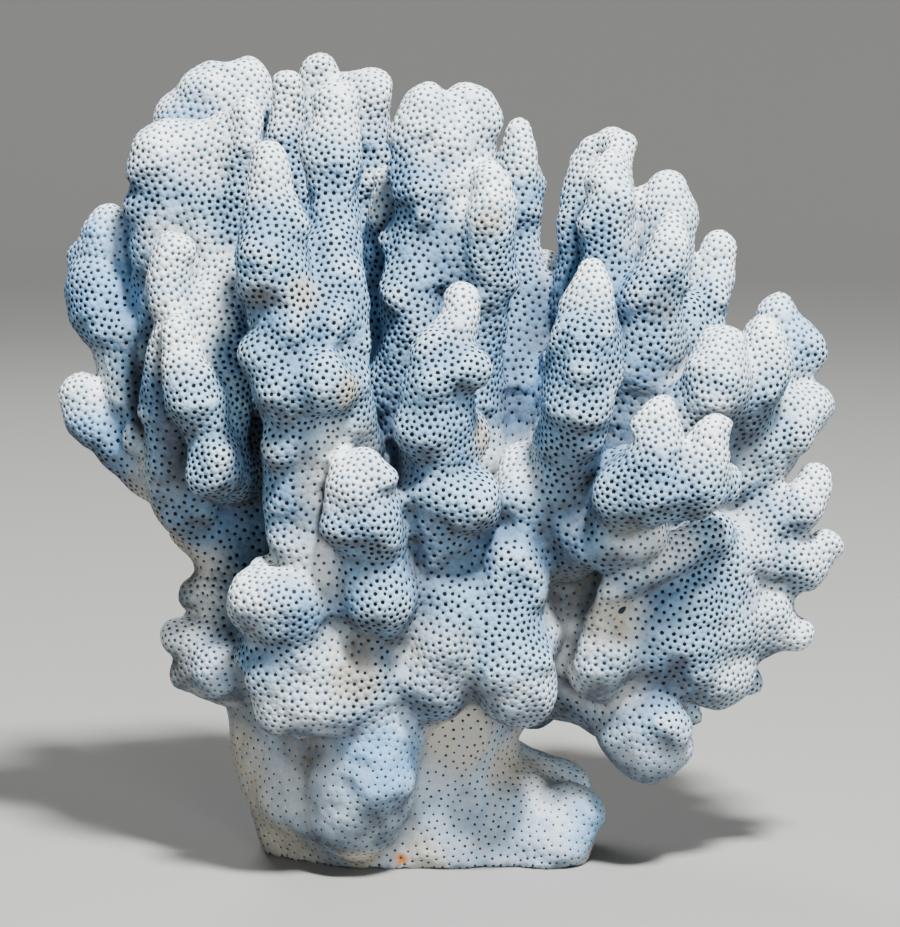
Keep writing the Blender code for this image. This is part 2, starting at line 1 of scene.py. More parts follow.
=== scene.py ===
# Blue coral colony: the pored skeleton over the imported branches, with floor, light and camera.
import math
import random
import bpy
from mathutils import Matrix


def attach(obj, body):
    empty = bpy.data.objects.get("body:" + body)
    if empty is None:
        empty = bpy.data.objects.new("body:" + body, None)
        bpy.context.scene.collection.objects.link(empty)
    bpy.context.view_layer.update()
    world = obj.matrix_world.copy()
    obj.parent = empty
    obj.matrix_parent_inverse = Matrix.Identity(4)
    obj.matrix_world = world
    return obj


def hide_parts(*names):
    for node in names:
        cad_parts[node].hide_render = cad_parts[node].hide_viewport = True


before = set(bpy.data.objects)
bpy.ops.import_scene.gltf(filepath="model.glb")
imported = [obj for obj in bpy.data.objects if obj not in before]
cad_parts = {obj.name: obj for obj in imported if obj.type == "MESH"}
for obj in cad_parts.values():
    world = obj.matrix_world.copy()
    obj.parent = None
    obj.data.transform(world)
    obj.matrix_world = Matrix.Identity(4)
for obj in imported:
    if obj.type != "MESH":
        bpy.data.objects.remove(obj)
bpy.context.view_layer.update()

from concurrent.futures import ThreadPoolExecutor

import bpy
import numpy as np
from mathutils import kdtree

# Where the forms were read from: the eye's distance and the heights it looks at, in
# millimetres, and how far it looks down.
reading = {"distance": 1000.0, "tiltDegrees": 9.0, "middleUp": 101.6, "middleHeight": 98.0}

# Every finger is a list of (across, up, toward, radius) in millimetres, root to tip.
# A single entry is a round lump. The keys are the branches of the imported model.
fingers = {
    "foot": [
        [(-24, -8, 0, 9), (-25, 3, 0, 15), (-27, 16, 0, 21.5), (-29, 30, 0, 25.5),
         (-30, 45, 0, 26.5)],
        [(-12, 4, 0, 24), (-10, 35, 0, 27), (-6, 58, 0, 30), (-2, 80, 0, 26)],
        [(-26, 12, 14, 12), (-23.5, 16.5, 24, 13.5), (-20.5, 25, 27, 14.2),
         (-18.5, 33.5, 27, 12.4)],
        [(-31, 13.5, 18, 8)],
        [(-34, 18, 14, 13), (-33, 34, 16, 13)],
        [(0, -3, 4, 18), (0, 10, 4, 19)],
        [(14, -3, 6, 15), (15, 12, 6, 15)],
        [(22, -4, 14, 8), (26, 8, 14, 11), (29, 13.5, 14, 9.5)],
        [(-2, 22, -4, 16), (14, 20, -6, 13), (25, 18, -6, 11)],
        [(-15, -3, -22, 15), (-15, 14, -22, 17)],
        [(8, -3, -18, 13), (8, 12, -18, 14)],
        [(-40, 56, 20, 14), (-22, 60, 25, 14.5), (0, 62, 24, 14.5), (14, 62, 23, 14)],
        [(-30, 80, 24, 12), (-8, 84, 25, 12), (12, 82, 22, 12)],
        [(14, 64, 18, 13), (32, 64, 14, 12)],
    ],
    "middle_branch": [
        [(-4, 78, 4, 22), (-6, 105, 14, 15), (-8, 125, 19, 11), (-9.3, 145, 20, 9),
         (-8.5, 160, 19, 7.6), (-8, 172, 19, 7.4), (-7, 182, 17, 7), (-6, 189.5, 16, 6.4)],
        [(2, 90, 4, 18), (3, 120, 14, 11), (2, 140, 17, 9), (3.5, 160, 15, 7.8),
         (4.5, 175, 13, 7), (4.7, 184, 12, 6.6), (4.5, 191.5, 12, 6.2)],
        [(-8.7, 170, 20.5, 7.6)],
        [(-1.5, 150, 19, 7), (-1.5, 170, 19, 6.5), (-1, 185, 16, 5.8)],
        [(6, 130, 16, 8), (8.8, 141, 21, 5.5), (10, 150, 22, 6), (11, 159, 24, 6.5),
         (11, 166, 24, 6.3), (10, 171.5, 23, 5)],
        [(15, 98, 4, 13), (18, 120, 4, 10), (18, 138, 0, 7.6), (18, 155, -2, 6),
         (18, 170, -3, 5.6), (17.7, 179, -3, 5.3), (17.6, 184.5, -3, 4.4)],
        [(22, 95, 4, 13), (24, 118, 2, 10), (25, 138, -5, 8), (24.5, 149.5, -8, 6)],
    ],
    "front_left_branch": [
        [(-15, 66, 8, 16), (-28, 86, 26, 12), (-36, 102, 36, 9.5), (-39, 118, 42, 9.5),
         (-42, 135, 43, 9), (-43.5, 150, 43, 8.3), (-44.5, 162, 42, 7.3), (-45.2, 171, 41, 5.6),
         (-45, 178, 40, 4.2)],
        [(-26, 92, 22, 12), (-28, 118, 38, 9.5), (-28.5, 138, 38, 9), (-29, 152, 35, 8.3),
         (-28.5, 166, 29, 6.6), (-28.5, 180, 28, 6.8), (-27.5, 191, 27, 6.2)],
        [(-20, 68, 24, 12), (-19.5, 82, 42, 9), (-20.5, 89, 48, 9.4), (-23.3, 96, 48, 8),
         (-25, 100, 47, 5.3)],
        [(-16, 60, 18, 13), (-18, 69, 42, 9.6)],
        [(-22, 62, 34, 9), (-20, 76, 40, 8.5)],
        [(-46.5, 129, 45, 6.8)],
        [(-45.5, 147, 44, 6.3)],
        [(-31, 122, 48, 8.2)],
        [(-29, 137, 44, 6)],
        [(-42, 120, 47, 7)],
        [(-39, 102, 37, 9), (-38, 90, 38, 8.6), (-35, 77, 38, 8.4)],
        [(-30, 78, 34, 8), (-29, 68, 38, 8)],
    ],
    "front_middle_branch": [
        [(-4, 72, 6, 18), (-3, 92, 26, 13), (-3, 104, 36, 10), (-3, 118, 42, 8.5),
         (-1, 130, 43, 6.8), (2.5, 138, 41, 4.6), (3, 143.3, 40, 4)],
        [(4.6, 125.5, 47, 5.6)],
        [(-4.5, 128, 45, 6.2)],
        [(-5.5, 120, 47, 7.5)],
        [(-6.5, 111, 45, 8.3)],
        [(4.5, 110, 34, 6)],
        [(-3.5, 93, 41, 9), (-2, 82, 36, 8)],
        [(4.5, 92.5, 41, 8.2)],
        [(12, 72, 12, 12), (17.5, 86, 29, 8.4), (18.5, 96, 30, 7.6), (18, 101, 28, 6)],
        [(20, 89, 31, 6)],
    ],
    "front_right_branch": [
        [(8, 72, 6, 16), (20, 86, 22, 12), (28, 99, 33, 9), (31.5, 112, 41, 8.5),
         (33.5, 124, 43, 8.8), (35, 135, 43, 8.3), (35.6, 144, 42, 6), (35.3, 149.8, 41, 3.8)],
        [(26, 76, 12, 12), (38, 87, 25, 10), (45, 94, 40, 9.4), (50, 102, 48, 7.6),
         (52, 109, 48, 5.6), (52.4, 115.6, 47, 4)],
        [(56, 95, 46, 8), (62, 98, 48, 7), (65.5, 104, 48, 5.2), (66.2, 109.3, 47, 3.9)],
        [(34.5, 133, 46, 7.5)],
        [(32.5, 117, 45, 7.2)],
        [(30, 104, 38, 7)],
        [(43.5, 95, 46, 8.3)],
        [(51.5, 95, 48, 8.5)],
        [(60, 95, 47, 7)],
        [(68, 96, 43, 5.5)],
        [(30, 80, 26, 9), (36, 83, 36, 7), (43, 82.5, 38, 6.3), (50, 84, 38, 5.5)],
    ],
    "left_branch": [
        [(-25, 45, 0, 16), (-43, 61, 2, 13.5), (-53, 77, 5, 11), (-64, 91, 8, 10),
         (-69, 102, 10, 9)],
        [(-64, 91, 8, 9.5), (-72, 104, 8, 7), (-78, 114, 6, 5.6), (-80, 123, 3, 5.8),
         (-83, 132, 1, 7), (-87, 141, 0, 9), (-87.5, 149, -1, 8.3), (-86.5, 157, -2, 6.3),
         (-85, 162, -2, 3.9)],
        [(-78, 116, 5, 5.5), (-80, 131, 2, 7), (-82, 146, -1, 6.4), (-83.5, 158, -3, 5)],
        [(-90, 146, -1, 7)],
        [(-74, 98, 4, 6.5), (-82, 105, 3, 6.8), (-88.5, 112, 3, 7), (-92.5, 119, 3, 5.3)],
        [(-84, 107, 4, 6.5), (-91.5, 112.5, 3, 5)],
        [(-66, 92, 12, 9), (-69, 108, 20, 7.8), (-69.5, 125, 25, 7.2), (-69, 138, 26, 6.8),
         (-71, 148, 26, 6.5), (-70.6, 154.5, 25, 5.3)],
        [(-60, 112, 20, 8.5), (-62, 128, 21, 7.5), (-64.5, 141, 23, 6)],
        [(-50, 100, 8, 10), (-57.5, 99, 28, 7.8), (-58.5, 100.5, 34, 7.8), (-60.5, 109.5, 33, 6.4),
         (-64.5, 118, 35, 7.3), (-67.3, 127, 35, 6.3), (-68.4, 134.8, 34, 5.2)],
        [(-57, 104, 25, 7), (-57, 117, 25, 7), (-57.5, 131, 21, 7.4), (-58, 146, 16, 7.4)],
        [(-77.5, 108, 13, 4.8)],
    ],
    "left_blades": [
        [(-38, 72, -2, 16), (-56, 98, 2, 12), (-65, 125, 6, 10), (-70, 145, 9, 9),
         (-72, 158, 10, 8.2), (-72.5, 170, 10, 8.2), (-72, 179, 10, 7.3), (-70, 183, 10, 5)],
        [(-44, 85, 4, 12), (-56, 115, 10, 9.5), (-57.5, 135, 12, 9), (-58, 150, 11, 9),
         (-58.5, 165, 10, 8.5), (-60, 180, 8, 7.5)],
        [(-52, 150, 14, 6), (-51.5, 168, 15, 5), (-50.5, 180, 15, 4.3), (-50.2, 188.5, 14, 3.9)],
        [(-64, 140, 9, 9), (-66, 165, 9, 8), (-66, 181.5, 8, 6.8)],
        [(-54, 150, 10, 7), (-54.5, 172, 10, 6.5), (-55, 184, 9, 5.4)],
        [(-48, 105, -10, 13), (-60, 150, -12, 11), (-64, 175, -13, 9), (-67.5, 188, -13, 6.3)],
        [(-50, 115, -10, 12), (-57, 155, -12, 10), (-59, 180, -12, 9), (-60, 194.5, -12, 8)],
        [(-42, 110, -8, 12), (-50, 160, -10, 9), (-51, 180, -11, 8), (-51, 196.5, -12, 6.8)],
        [(-46, 120, -9, 12), (-54, 165, -11, 9), (-56, 195.5, -12, 7.2)],
        [(-36, 120, 0, 10), (-40, 160, 1, 6.8), (-41, 185, 0, 4.8), (-41.4, 196.5, 0, 3.6)],
    ],
    "rear_middle_branch": [
        [(-12, 78, -8, 18), (-20, 110, -12, 14), (-20, 140, -14, 8), (-19.5, 165, -16, 6),
         (-19.7, 182, -17, 5.6), (-20.5, 194.5, -18, 5.8)],
        [(-22, 98, -12, 15), (-31, 140, -18, 9.5), (-33, 170, -21, 7.5), (-33, 188, -22, 6.2),
         (-32, 199.8, -22, 5.3)],
        [(-26, 150, -16, 8), (-26, 185, -20, 6), (-26, 194, -20, 5.5)],
        [(-15.5, 178, -14, 3.2)],
        [(-15, 120, -2, 9), (-15, 150, 0, 7.4), (-15, 166, 1, 6.2), (-15, 171, 1, 5.2)],
    ],
    "upper_right_branch": [
        [(10, 80, 4, 18), (28, 105, 10, 14), (37, 130, 12, 11), (38.5, 150, 17, 7.8),
         (40, 163, 18, 6.6), (40, 171, 17, 5.8), (41, 175.5, 15, 4.8)],
        [(42, 165, 13, 5), (42, 176, 11, 4), (42.3, 181.5, 9, 3.6)],
        [(34, 140, 6, 9), (33, 160, 4, 6.2), (33.5, 172, 3, 5), (35.3, 180.6, 3, 4.6)],
        [(38, 155, 5, 7), (38.8, 172, 3, 5), (40, 181.4, 4, 4.8)],
        [(44, 140, 4, 8), (47.5, 160, 2, 4.5), (48, 167, 2, 3.4)],
        [(42, 112, 12, 12), (50, 140, 10, 8.5), (53.5, 155, 7, 7.2), (55, 165, 5, 6.7),
         (55, 169.5, 4, 5.4)],
        [(57.6, 164.5, 4, 4.6)],
        [(45, 116, 18, 10), (50, 134, 24, 8), (53, 148, 26, 6.2), (55, 156, 25, 5.4),
         (55.3, 161, 23, 4.2)],
        [(49.5, 143, 26, 6.2)],
        [(48, 108, 12, 11), (58, 125, 12, 8.5), (63, 137, 9, 6.8), (65.5, 147, 6, 5.6),
         (67.3, 155, 4, 4.8)],
        [(59, 133, 15, 5), (60, 140, 13, 5)],
    ],
    "right_branch": [
        [(26, 68, 4, 16), (48, 85, 10, 14), (62, 97, 12, 12), (72, 106, 13, 11)],
        [(40, 98, 20, 10), (46, 111, 19, 10), (54, 119, 18, 9)],
        [(54, 106, 20, 10), (63, 117, 32, 7.6), (67, 123, 33, 8.3), (68.6, 130.5, 32, 5.9)],
        [(68, 110, 18, 9), (76.5, 120, 24, 6.6), (78, 128, 23, 6), (78, 134.3, 21, 4.6)],
        [(70, 112, 8, 10), (80, 124, 8, 8.5), (84.5, 131, 7, 7.5), (82.3, 137.8, 6, 6.5)],
        [(74, 102, 12, 10), (83, 111, 12, 9), (89, 115.5, 10, 7.4)],
        [(70, 86, 12, 10), (83, 88, 17, 6), (88.5, 92, 18, 5.6), (91, 98, 17, 4.1)],
        [(70, 78, 14, 10), (84, 75, 16, 7.3), (90, 77, 16, 5.6), (93.6, 80.6, 15, 4.1)],
    ],
    "lower_right_branch": [
        [(12, 52, 2, 18), (35, 60, 16, 14), (52, 66, 22, 13.5), (66, 68, 20, 12.5),
         (76, 66, 16, 10)],
        [(44, 70, 20, 11), (62, 77, 22, 10), (72, 80, 18, 9)],
        [(28, 50, 8, 13), (48, 52, 22, 10.5), (60, 53, 22, 10.5), (66, 50, 21, 9)],
        [(70, 60, 16, 9), (80, 60.5, 15, 6), (86.3, 59.3, 15, 3.9)],
        [(40.5, 61, 28, 6.5), (39, 54, 30, 8.6), (37, 50, 28, 8.6)],
        [(46, 58, 16, 12), (57, 60, 24, 12.5), (66, 62, 20, 12)],
        [(60, 50, 22, 8), (66.3, 45.5, 22, 4.2)],
        [(62, 54, 4, 9), (72.5, 47.5, 0, 4.2)],
        [(36, 47, 10, 12), (46, 41, 21, 11), (48.5, 35, 23, 12), (49.5, 33, 23, 11.4)],
        [(57, 31, 22, 5)],
        [(52, 45, 10, 9), (60.3, 37.5, 12, 3)],
        [(64, 84, 29, 6.5), (54, 78.5, 33, 6), (46, 74, 35.5, 4.6), (40, 69, 35, 3.6),
         (36.5, 63, 34, 3.2)],
    ],
    "lower_left_lobes": [
        [(-25, 58, 12, 14), (-38, 62, 34, 10.5), (-46, 67, 41, 9.3), (-48.5, 70, 41, 6.5)],
        [(-40, 67, 43, 8.8), (-38, 58, 39, 8.6), (-33, 50, 38, 9)],
        [(-24, 46, 14, 15), (-30, 43, 36, 9.4), (-36, 42, 38, 9.4)],
        [(-41.5, 53, 38, 8.6), (-41, 46, 38, 9.2), (-41, 41.5, 37, 8.8)],
        [(-34, 73, 35, 8), (-33, 63, 36, 8.6), (-31, 53, 36, 9)],
        [(-22, 57, 34, 9), (-20, 46, 34, 8.6), (-18, 38, 32, 8)],
        [(-46, 54, 33, 6.5)],
        [(-26, 52, 34, 9.5), (-22, 44, 34, 9)],
        [(-40, 62, 4, 13), (-58, 69, 9, 8), (-63.5, 69.5, 10, 5.6)],
        [(-42, 54, 6, 13), (-60, 57, 12, 8), (-67.8, 58, 13, 5.4)],
        [(-44, 50, 6, 11), (-60, 49, 12, 7), (-65, 50, 13, 5.5)],
        [(-48, 50, 12, 9), (-58.5, 52, 20, 5.5), (-58.3, 46.5, 20, 4.8)],
    ],
    "lower_front_lobes": [
        [(-4, 58, 12, 16), (0, 72, 34, 9.6), (-1, 63, 35, 9.8), (-3, 54, 35, 9.6)],
        [(-4, 50, 12, 15), (-4.5, 47.5, 34, 9.6)],
        [(6, 60, 12, 15), (15.5, 80, 31, 8.8), (13.5, 70, 34, 9), (13.5, 60, 35, 9.6),
         (15, 51, 35, 11), (16, 47, 34, 11)],
        [(4.5, 62, 28, 7), (4.5, 50, 27, 7)],
        [(22, 58, 28, 6.5)],
    ],
    "rear_left_branch": [
        [(-30, 55, -8, 18), (-44, 62, -26, 11), (-50, 68, -32, 9)],
        [(-22, 50, -10, 18), (-26, 48, -32, 11.5), (-27, 54, -38, 9)],
    ],
    "rear_centre_branch": [
        [(-4, 52, -8, 20), (-4, 50, -34, 12), (-3, 60, -42, 9.5)],
        [(14, 54, -6, 18), (20, 50, -28, 12), (22, 58, -36, 9.5)],
    ],
    "rear_right_branch": [
        [(28, 58, -2, 16), (44, 56, -16, 11), (50, 64, -26, 9)],
        [(36, 66, 0, 15), (60, 74, -8, 11), (70, 84, -14, 9)],
    ],
}

# Rear of the crown: columns in curved rows under the outline seen from the front. outline is
# (across, up) and a row is (toward, below the outline, half width).
rearCrown = {
    "outline": [(-95, 118), (-86, 152), (-76, 178), (-60, 196), (-45, 192), (-30, 198),
                (-15, 176), (0, 190), (12, 176), (19, 178), (25, 148), (34, 178), (46, 162),
                (56, 168), (67, 152), (76, 134), (84, 138), (92, 115)],
    "rows": [(-28, 7, 76), (-43, 19, 66), (-56, 38, 46)],
    "spacing": 19.5,
    "bow": 10,
    "wander": 2.5,
    "depthWander": 3,
    "tipRadius": (6.8, 8.6),
    "tipDrop": 12,
    "tipLean": 2,
    "lumpLevels": (0.3, 0.62),
    "lumpOut": (3, 6),
    "lumpRadius": (6.5, 8),
    "splits": (-24, 22),
    "seed": 20,
}

# The skin: how the fingers run into each other and how uneven they are, in millimetres. Knobs
# wind up each finger, sized by its radius, and waves are swellings all over. The grid has this
# margin and is filled in slabs side by side. Every coarse-th point of it tells the hollows.
skin = {
    "voxel": 0.6,
    "reach": 5.0,
    "blend": 2.8,
    "lean": 0.98,
    "pathStep": 4.0,
    "knobBlend": 3.2,
    "knobEvery": 7.5,
    "knobStart": 0.3,
    "knobTurn": 2.4,
    "knobOut": (0.64, 0.82),
    "knobSize": (0.44, 0.56),
    "knobRise": 0.6,
    "knobSeed": 5,
    "waveSizes": [12.0, 6.5, 3.2],
    "waveHeights": [0.9, 1.5, 0.6],
    "waveDroop": 1.5,
    "waveSeed": 11,
    "margin": 4,
    "belowFloor": 1.7,
    "slabs": 12,
    "coarse": 4,
}

# Discoloured places: (across, up, toward, reach), read from the front like the fingers. The brown
# ones, under ledges and in recesses, are partly dirt and partly painted shade.
stains = {
    "cream": [(-50, 24, 8, 20), (-44, 6, 14, 14), (-36, 1, 24, 7), (-22, 1, 28, 8),
              (-8, 2, 26, 9), (33, 3, 14, 8), (24, 30, 8, 12), (3, 33, 26, 14),
              (14, 26, 12, 10), (-24, 48, 44, 9), (39, 62, 36, 9), (-72, 88, 4, 15),
              (-47, 104, 18, 10), (-60, 78, 6, 12), (-38, 144, 48, 6), (-24, 120, 52, 6),
              (10, 163, 30, 5), (7, 108, 38, 7)],
    "brownDirtAndShade": [(-69, 72, 10, 9), (-66, 52, 14, 9), (-47, 62, 42, 5), (-22, 56, 44, 6),
              (0, 58, 42, 6), (30, 70, 28, 12), (-38, 31, 30, 10), (-48, 112, 20, 8),
              (-46, 144, 50, 5), (54, 141, 32, 6), (28, 106, 40, 6), (44, 87, 46, 6)],
    "rust": [(-11.3, 2.8, 24, 1.9)],
    "sky": [(-87, 150, 6, 20), (-89, 107, 6, 14), (-58, 50, 20, 8), (-68, 184, 0, 13),
            (85, 133, 4, 14), (97, 112, 2, 14), (95, 76, 4, 15), (-14, 140, 12, 9),
            (24, 122, 10, 9), (-15, 28, 38, 16), (36, 11, 22, 10)],
}

# Holes that some creature bored, wider and deeper than the pores.
bored = {"spots": [(43, 64.5, 36), (26.5, 53, 38)], "room": 4.0, "radius": 1.4, "depth": 3.5}

# The pores: scattered at least gap apart, then evened out to about 2 mm. Their rims are about
# 1.1 mm wide, and the dark pit shows about 0.8 mm of that. Below footTop they get smaller and
# sparser.
pores = {
    "gap": 1.36,
    "creviceGap": 0.3,
    "footGap": 0.2,
    "radius": 0.55,
    "depth": 0.95,
    "seed": 3,
    "rounds": 9,
    "lipTilt": 0.7,
    "tipReach": (5, 16),
    "footTop": (28, 46),
    "shutShare": 0.03,
}


def place(across, up, toward):
    tilt = math.radians(reading["tiltDegrees"])
    eyeY = -reading["distance"] * math.cos(tilt)
    eyeZ = reading["middleHeight"] + reading["distance"] * math.sin(tilt)
    rise = (up - reading["middleUp"]) / reading["distance"]
    reach = (-toward - eyeY) / (math.cos(tilt) + rise * math.sin(tilt))
    height = eyeZ + reach * (rise * math.cos(tilt) - math.sin(tilt))
    shrink = reach / reading["distance"]
    return np.array([across * shrink, -toward, height]), shrink


def smoothPath(stations):
    knots = []
    for across, up, toward, radius in stations:
        point, shrink = place(across, up, toward)
        knots.append(np.append(point, radius * shrink * skin["lean"]))
    if len(knots) == 1:
        return np.array(knots)
    first = 2 * knots[0] - knots[1]
    last = 2 * knots[-1] - knots[-2]
    first[3] = knots[0][3]
    last[3] = knots[-1][3]
    padded = [first] + knots + [last]
    path = []
    for a, b, c, d in zip(padded, padded[1:], padded[2:], padded[3:]):
        steps = max(2, round(np.linalg.norm(c[:3] - b[:3]) / skin["pathStep"]))
        for f in np.arange(steps) / steps:
            path.append(0.5 * ((2 * b) + (c - a) * f + (2 * a - 5 * b + 4 * c - d) * f * f
                               + (3 * b - a - 3 * c + d) * f ** 3))
    path.append(knots[-1])
    return np.array(path)


def crownTop(across):
    return float(np.interp(across, *zip(*rearCrown["outline"])))


def addRearColumns():
    chance = random.Random(rearCrown["seed"])
    columns = {"rear_left_branch": [], "rear_centre_branch": [], "rear_right_branch": []}
    wander = rearCrown["wander"]
    inward = rearCrown["depthWander"]
    lean = rearCrown["tipLean"]
    leftEnd, rightStart = rearCrown["splits"]
    for toward, drop, halfWidth in rearCrown["rows"]:
        count = round(2 * halfWidth / rearCrown["spacing"])
        for column in range(count + 1):
            spot = -halfWidth + column * 2 * halfWidth / count + chance.uniform(-wander, wander)
            depth = toward + chance.uniform(-inward, inward)
            depth += rearCrown["bow"] * (spot / halfWidth) ** 2
            radius = chance.uniform(*rearCrown["tipRadius"])
            tip = crownTop(spot) - drop - radius - chance.uniform(0, rearCrown["tipDrop"])
            footUp = 70 + 22 * abs(spot) / halfWidth
            made = [[
                (spot * 0.3 - 3, 62, depth * 0.25, 15),
                (spot * 0.74, footUp + 8, depth * 0.78, 11),
                (spot * 0.93, footUp + 0.35 * (tip - footUp), depth * 0.98, 9.5),
                (spot, footUp + 0.75 * (tip - footUp), depth, radius * 1.08),
                (spot + chance.uniform(-lean, lean), tip, depth + chance.uniform(-lean, lean),
                 radius * 0.75),
            ]]
            for level in rearCrown["lumpLevels"]:
                up = footUp + level * (tip - footUp) + chance.uniform(-6, 6)
                aside = spot * (0.9 + 0.1 * level) + chance.uniform(-4, 4)
                lumpDepth = depth - chance.uniform(*rearCrown["lumpOut"])
                made.append([(aside, up, lumpDepth, chance.uniform(*rearCrown["lumpRadius"]))])
            side = "left" if spot < leftEnd else "centre" if spot < rightStart else "right"
            columns["rear_" + side + "_branch"] += made
    for name, made in columns.items():
        fingers[name] = made + fingers[name]


def knobsAlong(path, chance):
    # swellings that wind up a finger, each with a long slope above and a round ledge below
    steps = np.linalg.norm(np.diff(path[:, :3], axis=0), axis=1)
    along = np.concatenate([[0], np.cumsum(steps)])
    knobs = []
    turn = chance.uniform(0, math.tau)
    at = along[-1] * skin["knobStart"] + chance.uniform(0, skin["knobEvery"])
    while at < along[-1] - 3:
        point = np.array([np.interp(at, along, path[:, k]) for k in range(4)])
        ahead = np.array([np.interp(at + 1, along, path[:, k]) for k in range(3)])
        axis = ahead - point[:3]
        axis /= np.linalg.norm(axis)
        side = np.cross(axis, [0.3, 1.0, 0.2])
        side /= np.linalg.norm(side)
        other = np.cross(axis, side)
        out = math.cos(turn) * side + math.sin(turn) * other
        size = point[3] * chance.uniform(*skin["knobSize"])
        aside = out * point[3] * chance.uniform(*skin["knobOut"])
        above = point[:3] + 0.5 * aside + [0, 0, point[3] * skin["knobRise"]]
        knobs.append(np.array([[*above, 0.9 * size], [*(point[:3] + aside), size]]))
        turn += skin["knobTurn"] + chance.uniform(-0.5, 0.5)
        at += skin["knobEvery"] * chance.uniform(0.75, 1.3)
    return knobs


def gatherForms():
    addRearColumns()
    chance = random.Random(skin["knobSeed"])
    forms = []
    tips = []
    for branch, stationLists in enumerate(fingers.values()):
        for stations in stationLists:
            path = smoothPath(stations)
            forms.append((branch, path, skin["blend"]))
            if len(stations) > 2:
                tips.append(path[-1, :3])
                if branch > 0:
                    forms += [(branch, knob, skin["knobBlend"])
                              for knob in knobsAlong(path, chance)]
    return forms, np.array(tips)


def splineWeights(count, size, cells):
    # weights that spread a coarse row of values smoothly over a fine row
    at = np.arange(count) * skin["voxel"] / size + 1
    low = np.floor(at).astype(int)
    f = at - low
    weights = np.zeros((count, cells), np.float32)
    rows = np.arange(count)
    weights[rows, low - 1] = (1 - f) ** 3 / 6
    weights[rows, low] = (3 * f ** 3 - 6 * f ** 2 + 4) / 6
    weights[rows, low + 1] = (-3 * f ** 3 + 3 * f ** 2 + 3 * f + 1) / 6
    weights[rows, low + 2] = f ** 3 / 6
    return weights


def between(grid, at, kind):
    # a grid's value at places between its points
    low = np.floor(at).astype(np.int64)
    f = (at - low).astype(kind)
    flat = grid.ravel()
    strides = (grid.shape[1] * grid.shape[2], grid.shape[2], 1)
    base = low @ np.array(strides)
    result = 0
    for corner in range(8):
        bits = ((corner >> 2) & 1, (corner >> 1) & 1, corner & 1)
        weight = 1
        for k in range(3):
            weight = weight * (f[:, k] if bits[k] else 1 - f[:, k])
        result = result + weight * flat[base + sum(b * s for b, s in zip(bits, strides))]
    return result


